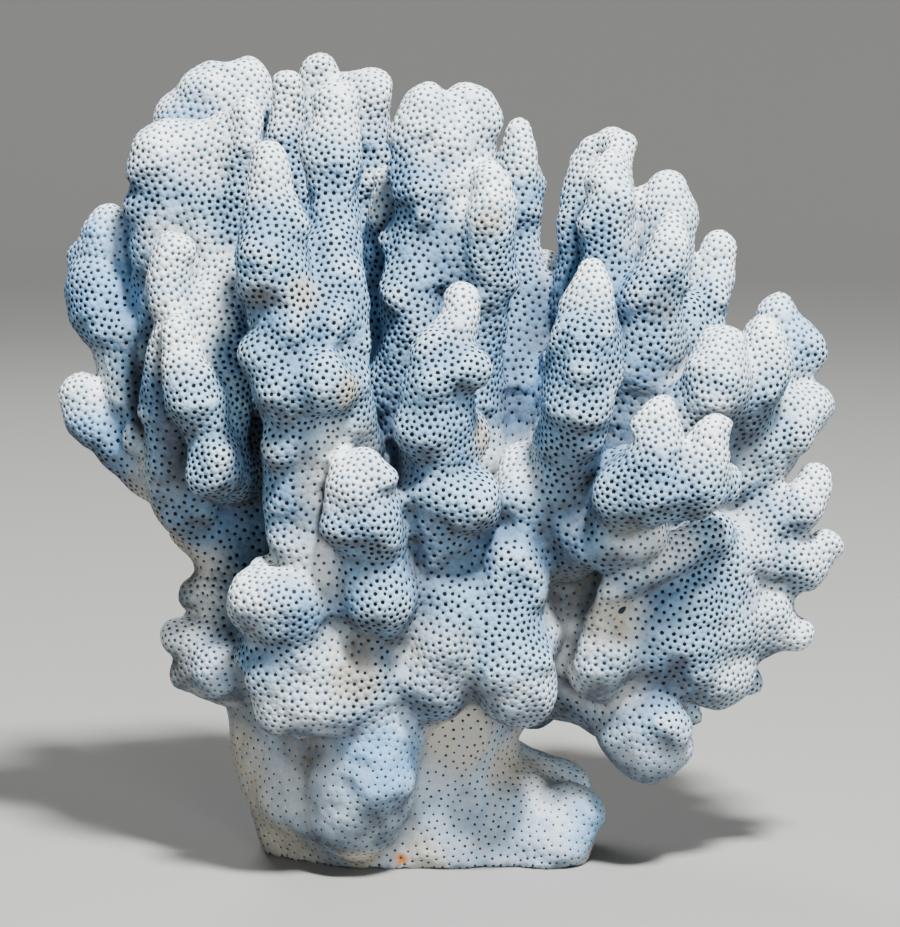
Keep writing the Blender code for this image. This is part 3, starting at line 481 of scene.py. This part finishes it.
class skinField:
    # signed distance to the colony's skin on a grid, negative inside, in millimetres

    def __init__(self, forms):
        lows = [(path[:, :3] - path[:, 3:]).min(axis=0) for _, path, _ in forms]
        highs = [(path[:, :3] + path[:, 3:]).max(axis=0) for _, path, _ in forms]
        self.low = np.min(lows, axis=0) - skin["margin"]
        self.low[2] = -skin["belowFloor"]
        self.high = np.max(highs, axis=0) + skin["margin"]
        self.size = np.ceil((self.high - self.low) / skin["voxel"]).astype(int)
        self.axes = [self.low[k] + np.arange(self.size[k]) * skin["voxel"] for k in range(3)]
        self.forms = forms
        self.values = np.full(self.size, skin["reach"], np.float32)
        self.owner = np.zeros(self.size, np.uint8)
        self.waves = self.makeWaves()
        slabs = np.linspace(0, self.size[0], skin["slabs"] + 1).astype(int)
        with ThreadPoolExecutor(4) as pool:
            list(pool.map(self.fillSlab, slabs[:-1], slabs[1:]))

    def makeWaves(self):
        chance = np.random.default_rng(skin["waveSeed"])
        waves = []
        for size, height in zip(skin["waveSizes"], skin["waveHeights"]):
            cells = [int(n * skin["voxel"] / size) + 5 for n in self.size]
            lattice = chance.uniform(-1, 1, cells).astype(np.float32) * height * 2
            weights = [splineWeights(self.size[k], size, cells[k]) for k in range(3)]
            part = np.tensordot(lattice, weights[2], axes=(2, 1))
            part = np.einsum("xyz,jy->xjz", part, weights[1], optimize=True)
            waves.append((weights[0], part.reshape(cells[0], -1)))
        return waves

    def span(self, low, high, first, last):
        start = np.maximum(np.floor((low - self.low) / skin["voxel"]).astype(int), [first, 0, 0])
        stop = np.minimum(np.ceil((high - self.low) / skin["voxel"]).astype(int) + 1,
                          [last, self.size[1], self.size[2]])
        return start, stop

    def fillSlab(self, first, last):
        reach = skin["reach"]
        nearest = np.full((last - first, self.size[1], self.size[2]), reach, np.float32)
        for branch, path, blend in self.forms:
            pad = path[:, 3:] + reach
            start, stop = self.span((path[:, :3] - pad).min(axis=0),
                                    (path[:, :3] + pad).max(axis=0), first, last)
            if np.any(stop <= start):
                continue
            block = np.full(stop - start, reach, np.float32)
            ends = path[1:] if len(path) > 1 else path
            for a, b in zip(path, ends):
                wide = max(a[3], b[3]) + reach
                lowIn, highIn = self.span(np.minimum(a[:3], b[:3]) - wide,
                                          np.maximum(a[:3], b[:3]) + wide, first, last)
                lowIn = np.maximum(lowIn, start)
                highIn = np.minimum(highIn, stop)
                if np.any(highIn <= lowIn):
                    continue
                part = block[tuple(slice(l - s, h - s) for l, h, s in zip(lowIn, highIn, start))]
                np.minimum(part, self.coneDistance(a, b, lowIn, highIn), out=part)
            where = tuple(slice(l, h) for l, h in zip(start, stop))
            local = (slice(start[0] - first, stop[0] - first),) + where[1:]
            closer = block < nearest[local]
            self.owner[where][closer] = branch
            np.minimum(nearest[local], block, out=nearest[local])
            before = self.values[where]
            mixing = np.maximum(blend - np.abs(before - block), 0)
            mixing *= np.clip((reach - np.maximum(before, block)) / (0.5 * reach), 0, 1)
            self.values[where] = np.minimum(before, block) - mixing * mixing / (4 * blend)
        slab = self.values[first:last]
        slab += self.droopingWaves(first, last)
        np.maximum(slab, -self.axes[2].astype(np.float32), out=slab)

    def droopingWaves(self, first, last):
        # swellings sink and hollows rise, so that each swelling ends in a ledge
        wave = sum((weights[first:last] @ part).reshape(-1, self.size[1], self.size[2])
                   for weights, part in self.waves)
        level = np.arange(self.size[2], dtype=np.float32)
        level = level - wave * (skin["waveDroop"] / skin["voxel"])
        level = np.clip(np.round(level), 0, self.size[2] - 1).astype(np.int32)
        return np.take_along_axis(wave, level, axis=2)

    def coneDistance(self, a, b, low, high):
        grid = [self.axes[k][low[k]:high[k]] - a[k] for k in range(3)]
        shapes = [(-1, 1, 1), (1, -1, 1), (1, 1, -1)]
        away = sum((g * g).astype(np.float32).reshape(s) for g, s in zip(grid, shapes))
        line = b - a
        length = float(line[:3] @ line[:3])
        if length < 1e-9:
            return np.sqrt(away) - np.float32(a[3])
        along = sum((g * line[k] / length).astype(np.float32).reshape(shapes[k])
                    for k, g in enumerate(grid))
        t = np.clip(along, 0, 1)
        away -= t * (2 * along - t) * np.float32(length)
        np.maximum(away, 0, out=away)
        return np.sqrt(away) - (np.float32(a[3]) + t * np.float32(line[3]))

    def sample(self, points):
        at = np.clip((points - self.low) / skin["voxel"], 0.001, self.size - 1.001)
        return between(self.values, at, np.float32)

    def normals(self, points, step=0.7):
        slopes = np.stack([self.sample(points + way) - self.sample(points - way)
                           for way in step * np.eye(3)], axis=1)
        return slopes / np.maximum(np.linalg.norm(slopes, axis=1, keepdims=True), 1e-6)

    def relief(self, points):
        # how far a place stands out from what lies 4 mm around it
        around = [self.sample(points + away * way) for way in np.eye(3) for away in (4.0, -4.0)]
        return np.mean(around, axis=0) - 0.5

    def settle(self, points, rounds=3):
        for _ in range(rounds):
            distance = np.clip(self.sample(points), -0.6, 0.6)
            points = points - self.normals(points) * distance[:, None]
        return points


def gridSkin(field):
    # one point in each grid cell that the skin runs through, and the four-sided faces between
    inside = field.values < 0
    nx, ny, nz = field.size - 1
    count = np.zeros((nx, ny, nz), np.uint8)
    corners = [(i, j, k) for i in (0, 1) for j in (0, 1) for k in (0, 1)]
    for i, j, k in corners:
        count += inside[i:i + nx, j:j + ny, k:k + nz]
    cells = np.stack(np.nonzero((count > 0) & (count < 8)), axis=1)
    values = np.stack([field.values[cells[:, 0] + i, cells[:, 1] + j, cells[:, 2] + k]
                       for i, j, k in corners], axis=1)
    total = np.zeros((len(cells), 3), np.float32)
    hits = np.zeros(len(cells), np.float32)
    for one, cornerOne in enumerate(corners):
        for axis in range(3):
            if cornerOne[axis]:
                continue
            cornerTwo = list(cornerOne)
            cornerTwo[axis] = 1
            two = corners.index(tuple(cornerTwo))
            a = values[:, one]
            b = values[:, two]
            crossed = (a < 0) != (b < 0)
            part = np.where(crossed, a / np.where(crossed, a - b, 1), 0)
            for k in range(3):
                total[:, k] += crossed * (part if k == axis else cornerOne[k])
            hits += crossed
    points = field.low + (cells + total / hits[:, None]) * skin["voxel"]

    number = np.full((nx, ny, nz), -1, np.int32)
    number[cells[:, 0], cells[:, 1], cells[:, 2]] = np.arange(len(cells))
    beside = np.tile(np.arange(len(cells), dtype=np.int32)[:, None], (1, 6))
    quads = []
    for axis in range(3):
        u = (axis + 1) % 3
        v = (axis + 2) % 3
        ahead = [slice(1, -1)] * 3
        behind = [slice(1, -1)] * 3
        behind[axis] = slice(0, -1)
        ahead[axis] = slice(1, None)
        near = inside[tuple(behind)]
        crossed = near != inside[tuple(ahead)]
        spots = np.stack(np.nonzero(crossed), axis=1)
        outward = near[crossed]
        spots[:, u] += 1
        spots[:, v] += 1
        ring = []
        for du, dv in ((1, 1), (0, 1), (0, 0), (1, 0)):
            at = spots.copy()
            at[:, u] -= du
            at[:, v] -= dv
            ring.append(number[at[:, 0], at[:, 1], at[:, 2]])
        a, b, c, d = ring
        for first, second, way in ((a, b, u), (d, c, u), (b, c, v), (a, d, v)):
            beside[first, 2 * way] = second
            beside[second, 2 * way + 1] = first
        quad = np.stack(ring, axis=1)
        quad[~outward] = quad[~outward][:, ::-1]
        quads.append(quad)
    return points.astype(np.float32), beside, np.concatenate(quads)


def scatterSeeds(points, gaps):
    # picks points in a mixed order and keeps each that is at least its gap from those kept
    tree = kdtree.KDTree(len(points))
    for index, point in enumerate(points.tolist()):
        tree.insert(point, index)
    tree.balance()
    order = np.random.default_rng(pores["seed"]).permutation(len(points)).tolist()
    covered = bytearray(len(points))
    chosen = []
    rows = points.tolist()
    gaps = gaps.tolist()
    for index in order:
        if covered[index]:
            continue
        chosen.append(index)
        for _, near, _ in tree.find_range(rows[index], gaps[index]):
            covered[near] = 1
    return np.array(chosen)


def evenPatches(points, beside, seeds, room):
    # shares the skin out among the seeds, one patch to each pore, all of near-equal size
    # but for those with more room
    label = np.full(len(points), -1, np.int32)
    label[seeds] = np.arange(len(seeds))
    centre = points[seeds].copy()
    distance = np.where(label >= 0, 0, 1e9).astype(np.float32)

    def sweep(distance):
        for column in range(6):
            offered = label[beside[:, column]]
            gap = ((points - centre[offered]) ** 2).sum(axis=1) - room[offered]
            better = (offered >= 0) & (gap < distance - 1e-6)
            label[better] = offered[better]
            distance[better] = gap[better]

    for _ in range(7):  # enough for every seed to reach the edge of its patch
        sweep(distance)
    for _ in range(pores["rounds"]):
        lost = label < 0
        count = np.bincount(label[~lost], minlength=len(seeds))
        for k in range(3):
            total = np.bincount(label[~lost], points[~lost, k], minlength=len(seeds))
            centre[:, k] = total / np.maximum(count, 1)
        gap = ((points - centre[label]) ** 2).sum(axis=1) - room[label]
        distance = np.where(lost, 1e9, gap).astype(np.float32)
        sweep(distance)
        sweep(distance)
    for _ in range(2):
        # a point cut off from the rest of its patch joins the patch around it
        alone = np.all(label[beside] != label[:, None], axis=1)
        alone |= (label[beside] == label[:, None]).sum(axis=1) < 2
        label[alone] = label[beside[alone, 0]]
    return label


def patchTriangles(points, quads, label, centres):
    # where three patches meet, their pores are joined by a triangle
    corner = label[quads]
    short = (((centres[corner[:, 0]] - centres[corner[:, 2]]) ** 2).sum(axis=1)
             <= ((centres[corner[:, 1]] - centres[corner[:, 3]]) ** 2).sum(axis=1))
    first = np.where(short[:, None], corner[:, [0, 1, 2]], corner[:, [0, 1, 3]])
    second = np.where(short[:, None], corner[:, [0, 2, 3]], corner[:, [1, 2, 3]])
    triangles = np.concatenate([first, second])
    keep = ((triangles[:, 0] != triangles[:, 1]) & (triangles[:, 1] != triangles[:, 2])
            & (triangles[:, 0] != triangles[:, 2]))
    triangles = triangles[keep & (triangles.min(axis=1) >= 0)]
    # triangles that lie back to back on the same three pores cancel out
    climbs = sum((triangles[:, k] < triangles[:, (k + 1) % 3]).astype(int) for k in range(3))
    trio = np.sort(triangles, axis=1).astype(np.int64)
    size = np.int64(len(centres))
    _, first, which = np.unique((trio[:, 0] * size + trio[:, 1]) * size + trio[:, 2],
                                return_index=True, return_inverse=True)
    net = np.round(np.bincount(which, np.where(climbs == 2, 1, -1))).astype(int)
    kept = trio[first]
    kept[net < 0] = kept[net < 0][:, [0, 2, 1]]
    return np.repeat(kept, np.abs(net), axis=0)


def poreSurface(field, enclosure):
    points, beside, quads = gridSkin(field)
    print("grid skin:", len(points), "points")
    hidden = smoothStep(0.5, 0.8, sampleCoarse(enclosure, field, points))
    low = 1 - smoothStep(*pores["footTop"], points[:, 2])
    seeds = scatterSeeds(points, pores["gap"] * (1 + pores["creviceGap"] * hidden
                                                 + pores["footGap"] * low))
    print("pores:", len(seeds))
    isBored = np.zeros(len(seeds), bool)
    for spot in bored["spots"]:
        isBored[np.argmin(np.linalg.norm(points[seeds] - place(*spot)[0], axis=1))] = True
    label = evenPatches(points, beside, seeds, np.where(isBored, bored["room"], 0.0))
    count = np.maximum(np.bincount(label[label >= 0], minlength=len(seeds)), 1)
    centres = np.stack([np.bincount(label[label >= 0], points[label >= 0, k],
                                    minlength=len(seeds)) / count for k in range(3)], axis=1)
    centres = field.settle(centres)
    triangles = patchTriangles(points, quads, label, centres)
    print("triangles between pores:", len(triangles), "patch size", count.mean())
    return centres, triangles, isBored


def measureEnclosure(field):
    # share of solid within about 15 mm of each place, on a coarse grid
    step = skin["coarse"]
    solid = (field.values[::step, ::step, ::step] < 0).astype(np.float32)
    for _ in range(3):
        for axis in range(3):
            padded = np.concatenate([np.zeros_like(solid.take([0] * 3, axis)), solid,
                                     np.zeros_like(solid.take([0] * 4, axis))], axis)
            sums = np.cumsum(padded, axis)
            n = solid.shape[axis]
            solid = (sums.take(range(6, n + 6), axis) - sums.take(range(0, n), axis)) / 6
    return solid


def sampleCoarse(grid, field, points):
    at = (points - field.low) / (skin["coarse"] * skin["voxel"])
    return between(grid, np.clip(at, 0, np.array(grid.shape) - 1.001), np.float64)


def smoothStep(low, high, x):
    t = np.clip((x - low) / (high - low), 0, 1)
    return t * t * (3 - 2 * t)


def buildColony():
    forms, tips = gatherForms()
    field = skinField(forms)
    print("field:", field.size)
    enclosure = measureEnclosure(field)
    centres, triangles, isBored = poreSurface(field, enclosure)
    chance = np.random.default_rng(pores["seed"] + 1)
    count = len(centres)

    normal = field.normals(centres)
    closed = sampleCoarse(enclosure, field, centres + normal * 4)
    crevice = smoothStep(0.3, 0.75, closed)
    fromTip = np.min([np.linalg.norm(centres - tip, axis=1) for tip in tips], axis=0)
    tip = 1 - smoothStep(*pores["tipReach"], fromTip)
    tip[isBored] = 0
    low = 1 - smoothStep(*pores["footTop"], centres[:, 2])
    cutFace = centres[:, 2] < 0.2

    radius = pores["radius"] * chance.uniform(0.85, 1.12, count)
    radius *= 1 - 0.3 * low - 0.15 * tip - 0.12 * crevice
    # a few pores are all but shut, more of them in the hollows
    shut = chance.uniform(0, 1, count) < pores["shutShare"] + 0.2 * crevice
    opened = np.where(shut, 0.25, 1.0)
    radius *= np.where(opened < 1, 0.6, 1.0)
    depth = pores["depth"] * opened * (1 - 0.3 * tip)
    opened[isBored] = 1.0
    radius[isBored] = bored["radius"]
    depth[isBored] = bored["depth"]

    # rim points: one in each pore for every triangle around it
    middle = centres[triangles].mean(axis=1)
    own = triangles.ravel()
    out = np.repeat(middle, 3, axis=0) - centres[own]
    out -= normal[own] * (out * normal[own]).sum(axis=1)[:, None]
    length = np.linalg.norm(out, axis=1, keepdims=True)
    out /= np.maximum(length, 1e-6)
    rimRadius = np.minimum(radius[own], 0.62 * length[:, 0])
    rim = field.settle(centres[own] + out * rimRadius[:, None], 2)
    rimNormal = field.normals(rim)
    tilt = pores["lipTilt"] * opened * (1 - 0.65 * low) * (1 - 0.6 * crevice)
    rimNormal = rimNormal - out * tilt[own][:, None]
    rimNormal /= np.linalg.norm(rimNormal, axis=1, keepdims=True)

    pit = centres - normal * depth[:, None]
    vertices = np.concatenate([rim, pit])
    flatAt = vertices[:, 2] < 0.25
    flatAt[len(rim):] = False
    vertices[flatAt, 2] = 0
    vertices[len(rim):][cutFace] = centres[cutFace] + [0, 0, 0.6]
    normals = np.concatenate([rimNormal, normal])

    def spread(value):
        shared = 0.5 * value[own] + 0.5 * np.repeat(value[triangles].mean(axis=1), 3)
        return np.concatenate([shared, value])

    # painted shade: faces that look down into the hollows are painted with the dark shade colour
    paintedUnderShade = smoothStep(0.0, 0.6, -normal[:, 2]) * smoothStep(0.0, 0.25, closed)
    shading = {"crevice": spread(crevice), "paintedUnderShade": spread(paintedUnderShade),
               # tips and the foot are made paler: partly bleaching and wear, partly painted light
               # and highlight
               "worn": spread(np.maximum(tip, 0.4 * low))}
    # swellings are painted paler, partly bleached and partly painted highlight, and the hollows
    # between them bluer, partly their own colour and partly painted shade
    shading["raised"] = spread(smoothStep(-0.9, 0.9, field.relief(centres)))
    for name, spots in stains.items():
        strength = np.zeros(count)
        for *spot, reach in spots:
            away = np.linalg.norm(centres - place(*spot)[0], axis=1)
            strength = np.maximum(strength, 1 - smoothStep(0.4 * reach, 1.1 * reach, away))
        shading[name] = spread(strength)

    # faces: land triangles, land strips across each edge, and the pit of each pore
    faceCount = len(triangles)
    rimIndex = np.arange(3 * faceCount).reshape(faceCount, 3)
    start = triangles[:, [0, 1, 2]].ravel()
    stop = triangles[:, [1, 2, 0]].ravel()
    rimStart = rimIndex[:, [0, 1, 2]].ravel()
    rimStop = rimIndex[:, [1, 2, 0]].ravel()
    forward = start < stop
    size = np.int64(count)
    keyForward = start[forward] * size + stop[forward]
    keyBack = stop[~forward] * size + start[~forward]
    orderForward = np.argsort(keyForward, kind="stable")
    orderBack = np.argsort(keyBack, kind="stable")
    if not np.array_equal(keyForward[orderForward], keyBack[orderBack]):
        raise RuntimeError("the pores' triangles don't close up")
    a1 = rimStart[forward][orderForward]
    b1 = rimStop[forward][orderForward]
    b2 = rimStart[~forward][orderBack]
    a2 = rimStop[~forward][orderBack]
    poreA = start[forward][orderForward]
    poreB = stop[forward][orderForward]
    land = np.concatenate([rimIndex, np.stack([a1, a2, b2], 1), np.stack([a1, b2, b1], 1)])
    # the strip runs the other way round from the triangle it leaves
    base = 3 * faceCount
    pitFaces = np.concatenate([np.stack([base + poreA, a2, a1], 1),
                               np.stack([base + poreB, b1, b2], 1)])
    faces = np.concatenate([land, pitFaces])
    # painted shade: each pit face gets how dark its pore is painted
    hole = np.zeros(len(faces), np.float32)
    hole[len(land):] = opened[np.concatenate([poreA, poreB])]
    branchOf = field.owner[tuple(np.round((centres - normal * 0.8 - field.low) / skin["voxel"])
                                 .astype(int).T)]
    faceBranch = np.concatenate([branchOf[triangles[:, 0]], branchOf[poreA], branchOf[poreA],
                                 branchOf[poreA], branchOf[poreB]])
    print("faces:", len(faces))
    return vertices, normals, faces, hole, faceBranch, shading


def addObject(name, data):
    made = bpy.data.objects.new(name, data)
    bpy.context.scene.collection.objects.link(made)
    return made


def srgb(text):
    values = [int(text[k:k + 2], 16) / 255 for k in (1, 3, 5)]
    return [v / 12.92 if v <= 0.04045 else ((v + 0.055) / 1.055) ** 2.4 for v in values] + [1.0]


def addNode(tree, kind, settings=None, links=None):
    # settings with a socket's name or number go to the socket, the others to the node
    node = tree.nodes.new(kind)
    for key, value in (settings or {}).items():
        if isinstance(key, str) and hasattr(node, key):
            setattr(node, key, value)
        else:
            node.inputs[key].default_value = value
    for key, socket in (links or {}).items():
        tree.links.new(socket, node.inputs[key])
    return node


coralColours = {
    "pale": "#8eb1c9",
    "blue": "#638aad",
    "deepBlue": "#314e6c",
    "sky": "#6e9cc6",
    # painted shade, laid in the deep hollows and on the faces that look down
    "shade": "#3a322c",
    "tip": "#eef1ec",
    # painted shade inside the pores, and the lesser painted shade of the shallow pits
    "pit": "#0a0f14",
    "tipPit": "#3f5565",
    "cream": "#aaa28e",
    "brownDirtAndShade": "#565045",
    "rust": "#a8621c",
}

# The real crystals are finer than 0.1 mm, too fine to show, so grain draws them coarser.
coralFinish = {"roughness": 0.8, "ior": 1.53, "gloss": 0.25, "grain": 0.45, "grainHeight": 0.2}

# Colours laid over the pale skin one after the other: the colour, the attribute that says
# where, how that attribute turns into strength (from, to, least, most), the size in
# millimetres of the patches that break it up, and how their noise turns into strength.
colourLayers = [
    ("blue", None, None, 26.0, (0.38, 0.62, 0.1, 0.85)),
    # by relief: bluer low places, partly own colour and partly painted shade, and paler swellings,
    # partly bleached and partly painted highlight
    ("deepBlue", "raised", (0.0, 0.7, 0.5, 0.0), 9.0, (0.3, 0.6, 0.5, 1.0)),
    ("tip", "raised", (0.55, 1.0, 0.0, 0.4), 7.0, (0.3, 0.6, 0.5, 1.0)),
    # deep hollows: the deep blue is partly the skeleton's own colour and partly painted shade, and
    # the dark shade colour over it is painted shade
    ("deepBlue", "crevice", (0.0, 1.0, 0.0, 1.0), 12.0, (0.3, 0.6, 0.4, 1.0)),
    ("shade", "crevice", (0.35, 0.95, 0.0, 1.0), 17.0, (0.4, 0.6, 0.3, 0.95)),
    # paler tips and foot: partly bleaching and wear, partly painted light and highlight
    ("tip", "worn", (0.0, 1.0, 0.0, 1.0), 6.0, (0.3, 0.6, 0.45, 0.9)),
    ("sky", "sky", (0.0, 1.0, 0.0, 1.0), 9.0, (0.3, 0.6, 0.5, 0.95)),
    # painted shade on the faces that look down
    ("shade", "paintedUnderShade", (0.0, 1.0, 0.0, 1.0), 7.0, (0.3, 0.6, 0.5, 0.95)),
    ("cream", "cream", (0.0, 1.0, 0.0, 1.0), 8.0, (0.3, 0.6, 0.7, 1.0)),
    # brown under ledges and in recesses: partly dirt, partly painted shade
    ("brownDirtAndShade", "brownDirtAndShade", (0.0, 1.0, 0.0, 1.0), 8.0, (0.3, 0.6, 0.6, 1.0)),
    ("blue", None, None, 1.6, (0.3, 0.7, 0.0, 0.28)),
    ("rust", "rust", (0.2, 0.5, 0.0, 1.0), 1.0, (0.3, 0.5, 0.8, 1.0)),
]


def dryAragonite():
    # Dried aragonite skeleton: matt and chalky, tinted blue by iron salts in its depth. Its colour
    # layers also hold painted shade in the hollows, under the ledges and in the pits, and painted
    # highlight and light on the swellings, tips and foot.
    material = bpy.data.materials.new("dryAragoniteSkeleton")
    material.use_nodes = True
    tree = material.node_tree
    shader = tree.nodes["Principled BSDF"]
    shader.inputs["Roughness"].default_value = coralFinish["roughness"]
    shader.inputs["IOR"].default_value = coralFinish["ior"]
    # fine pores swallow much of the gloss that solid aragonite would have
    shader.inputs["Specular IOR Level"].default_value = coralFinish["gloss"]
    where = addNode(tree, "ShaderNodeTexCoord").outputs["Object"]
    base = addNode(tree, "ShaderNodeRGB")
    base.outputs[0].default_value = srgb(coralColours["pale"])
    colour = base.outputs[0]
    for name, placed, ramp, size, breakUp in colourLayers:
        noise = addNode(tree, "ShaderNodeTexNoise", {"Scale": 1000.0 / size, "Detail": 3.0},
                        {"Vector": where})
        strength = addNode(tree, "ShaderNodeMapRange", dict(enumerate(breakUp, 1)),
                           {0: noise.outputs["Fac"]})
        if placed:
            spread = addNode(tree, "ShaderNodeAttribute", {"attribute_name": placed})
            along = addNode(tree, "ShaderNodeMapRange", dict(enumerate(ramp, 1)),
                            {0: spread.outputs["Fac"]})
            strength = addNode(tree, "ShaderNodeMath", {"operation": "MULTIPLY"},
                               {0: along.outputs[0], 1: strength.outputs[0]})
        layer = addNode(tree, "ShaderNodeMix", {"data_type": "RGBA", 7: srgb(coralColours[name])},
                        {0: strength.outputs[0], 6: colour})
        colour = layer.outputs[2]

    # painted shade: the pits are painted dark, less so where they are worn shallow at the tips and
    # on the foot
    worn = addNode(tree, "ShaderNodeAttribute", {"attribute_name": "worn"})
    pit = addNode(tree, "ShaderNodeMix", {"data_type": "RGBA", 6: srgb(coralColours["pit"]),
                                          7: srgb(coralColours["tipPit"])},
                  {0: worn.outputs["Fac"]})
    pore = addNode(tree, "ShaderNodeAttribute", {"attribute_name": "pore"})
    skinAndPits = addNode(tree, "ShaderNodeMix", {"data_type": "RGBA"},
                          {0: pore.outputs["Fac"], 6: colour, 7: pit.outputs[2]})
    tree.links.new(skinAndPits.outputs[2], shader.inputs["Base Color"])

    grain = addNode(tree, "ShaderNodeTexNoise",
                    {"Scale": 1000.0 / coralFinish["grain"], "Detail": 3.0, "Roughness": 0.65},
                    {"Vector": where})
    bump = addNode(tree, "ShaderNodeBump",
                   {"Strength": 0.7, "Distance": coralFinish["grainHeight"] / 1000.0},
                   {"Height": grain.outputs["Fac"]})
    tree.links.new(bump.outputs["Normal"], shader.inputs["Normal"])
    return material


def makePieces(material):
    vertices, normals, faces, hole, faceBranch, shading = buildColony()
    for branch, node in enumerate(fingers):
        mine = faceBranch == branch
        used, corners = np.unique(faces[mine], return_inverse=True)
        first, *rest = node.split("_")
        name = first + "".join(word.title() for word in rest) + "Skeleton"
        mesh = bpy.data.meshes.new(name)
        mesh.vertices.add(len(used))
        mesh.vertices.foreach_set("co", (vertices[used] * 0.001).astype(np.float32).ravel())
        mesh.loops.add(3 * mine.sum())
        mesh.loops.foreach_set("vertex_index", corners.ravel().astype(np.int32))
        mesh.polygons.add(int(mine.sum()))
        mesh.polygons.foreach_set("loop_start", np.arange(0, 3 * mine.sum(), 3, dtype=np.int32))
        mesh.update(calc_edges=True)
        mesh.shade_smooth()
        for label, values in shading.items():
            layer = mesh.attributes.new(label, "FLOAT", "POINT")
            layer.data.foreach_set("value", values[used].astype(np.float32))
        # painted shade of the pits, as a face attribute
        layer = mesh.attributes.new("pore", "FLOAT", "FACE")
        layer.data.foreach_set("value", hole[mine])
        mesh.normals_split_custom_set_from_vertices(normals[used].astype(np.float32))
        mesh.materials.append(material)
        piece = addObject(name, mesh)
        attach(piece, "root")
        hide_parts(node)
        print(name, int(mine.sum()), "triangles")


# Each light: power in watts, side in metres, how widely it beams in degrees, and its place.
studio = {
    "lights": {
        "keyLight": (107.0, 0.2, 180, (0.3, -0.65, 1.4)),
        "frontFill": (0.8, 0.3, 60, (0.3, -1.0, 0.2)),
        "rearFill": (4.0, 0.4, 90, (-0.4, 1.1, 0.9)),
    },
    "world": "#e8eaec", "worldStrength": 0.02, "paint": "#80807e",
    "floorRadius": 1.3, "coveRadius": 0.9, "wallTop": 2.6, "coveSides": 96, "coveSteps": 24,
    "floorDrop": 0.0002,
}


def aimAt(obj, target):
    toTarget = np.array(target) - np.array(obj.location)
    flat = math.hypot(toTarget[0], toTarget[1])
    obj.rotation_euler = (math.atan2(flat, -toTarget[2]), 0,
                          math.atan2(toTarget[1], toTarget[0]) - math.pi / 2)


def addLight(name, power, size, spread, location):
    data = bpy.data.lights.new(name, "AREA")
    data.energy = power
    data.size = size
    data.spread = math.radians(spread)
    lamp = addObject(name, data)
    lamp.location = location
    aimAt(lamp, (0, 0, 0.1))


def setStudio():
    # a floor that curves up into a wall all the way round, so that no edge shows behind the coral
    curve = np.linspace(0, math.pi / 2, studio["coveSteps"])
    outline = [(studio["floorRadius"] + studio["coveRadius"] * math.sin(t),
                studio["coveRadius"] * (1 - math.cos(t))) for t in curve]
    outline.append((outline[-1][0], studio["wallTop"]))
    sides = studio["coveSides"]
    around = [2 * math.pi * k / sides for k in range(sides)]
    vertices = [(r * math.cos(a), r * math.sin(a), z) for r, z in outline for a in around]
    faces = [tuple(range(sides))]
    for ring in range(len(outline) - 1):
        for k in range(sides):
            after = (k + 1) % sides
            low = ring * sides
            faces.append((low + k, low + sides + k, low + sides + after, low + after))
    mesh = bpy.data.meshes.new("studioCove")
    mesh.from_pydata(vertices, [], faces)
    mesh.shade_smooth()
    cove = addObject("studioCove", mesh)
    cove.location.z = -studio["floorDrop"]
    # matt wall paint, pale once lit, so that the coral keeps its own contrast
    paint = bpy.data.materials.new("paleStudioPaint")
    paint.use_nodes = True
    coat = paint.node_tree.nodes["Principled BSDF"]
    coat.inputs["Base Color"].default_value = srgb(studio["paint"])
    coat.inputs["Roughness"].default_value = 0.9
    mesh.materials.append(paint)
    world = bpy.data.worlds.new("studioWorld")
    world.use_nodes = True
    sky = world.node_tree.nodes["Background"]
    sky.inputs["Color"].default_value = srgb(studio["world"])
    sky.inputs["Strength"].default_value = studio["worldStrength"]
    bpy.context.scene.world = world
    for name, values in studio["lights"].items():
        addLight(name, *values)


def setCamera():
    tilt = math.radians(reading["tiltDegrees"])
    distance = reading["distance"] / 1000
    # the photograph is 927 pixels high, and 4 of them are a millimetre at the coral
    imageHeight = 927 / 4 / 1000
    data = bpy.data.cameras.new("photoCamera")
    data.sensor_fit = "VERTICAL"
    data.sensor_height = 36
    data.lens = 36 * distance / imageHeight
    camera = addObject("photoCamera", data)
    camera.location = (0, -distance * math.cos(tilt),
                       reading["middleHeight"] / 1000 + distance * math.sin(tilt))
    camera.rotation_euler = (math.pi / 2 - tilt, 0, 0)
    bpy.context.scene.camera = camera


setCamera()
setStudio()
print("studio set")
makePieces(dryAragonite())
print("coral built")
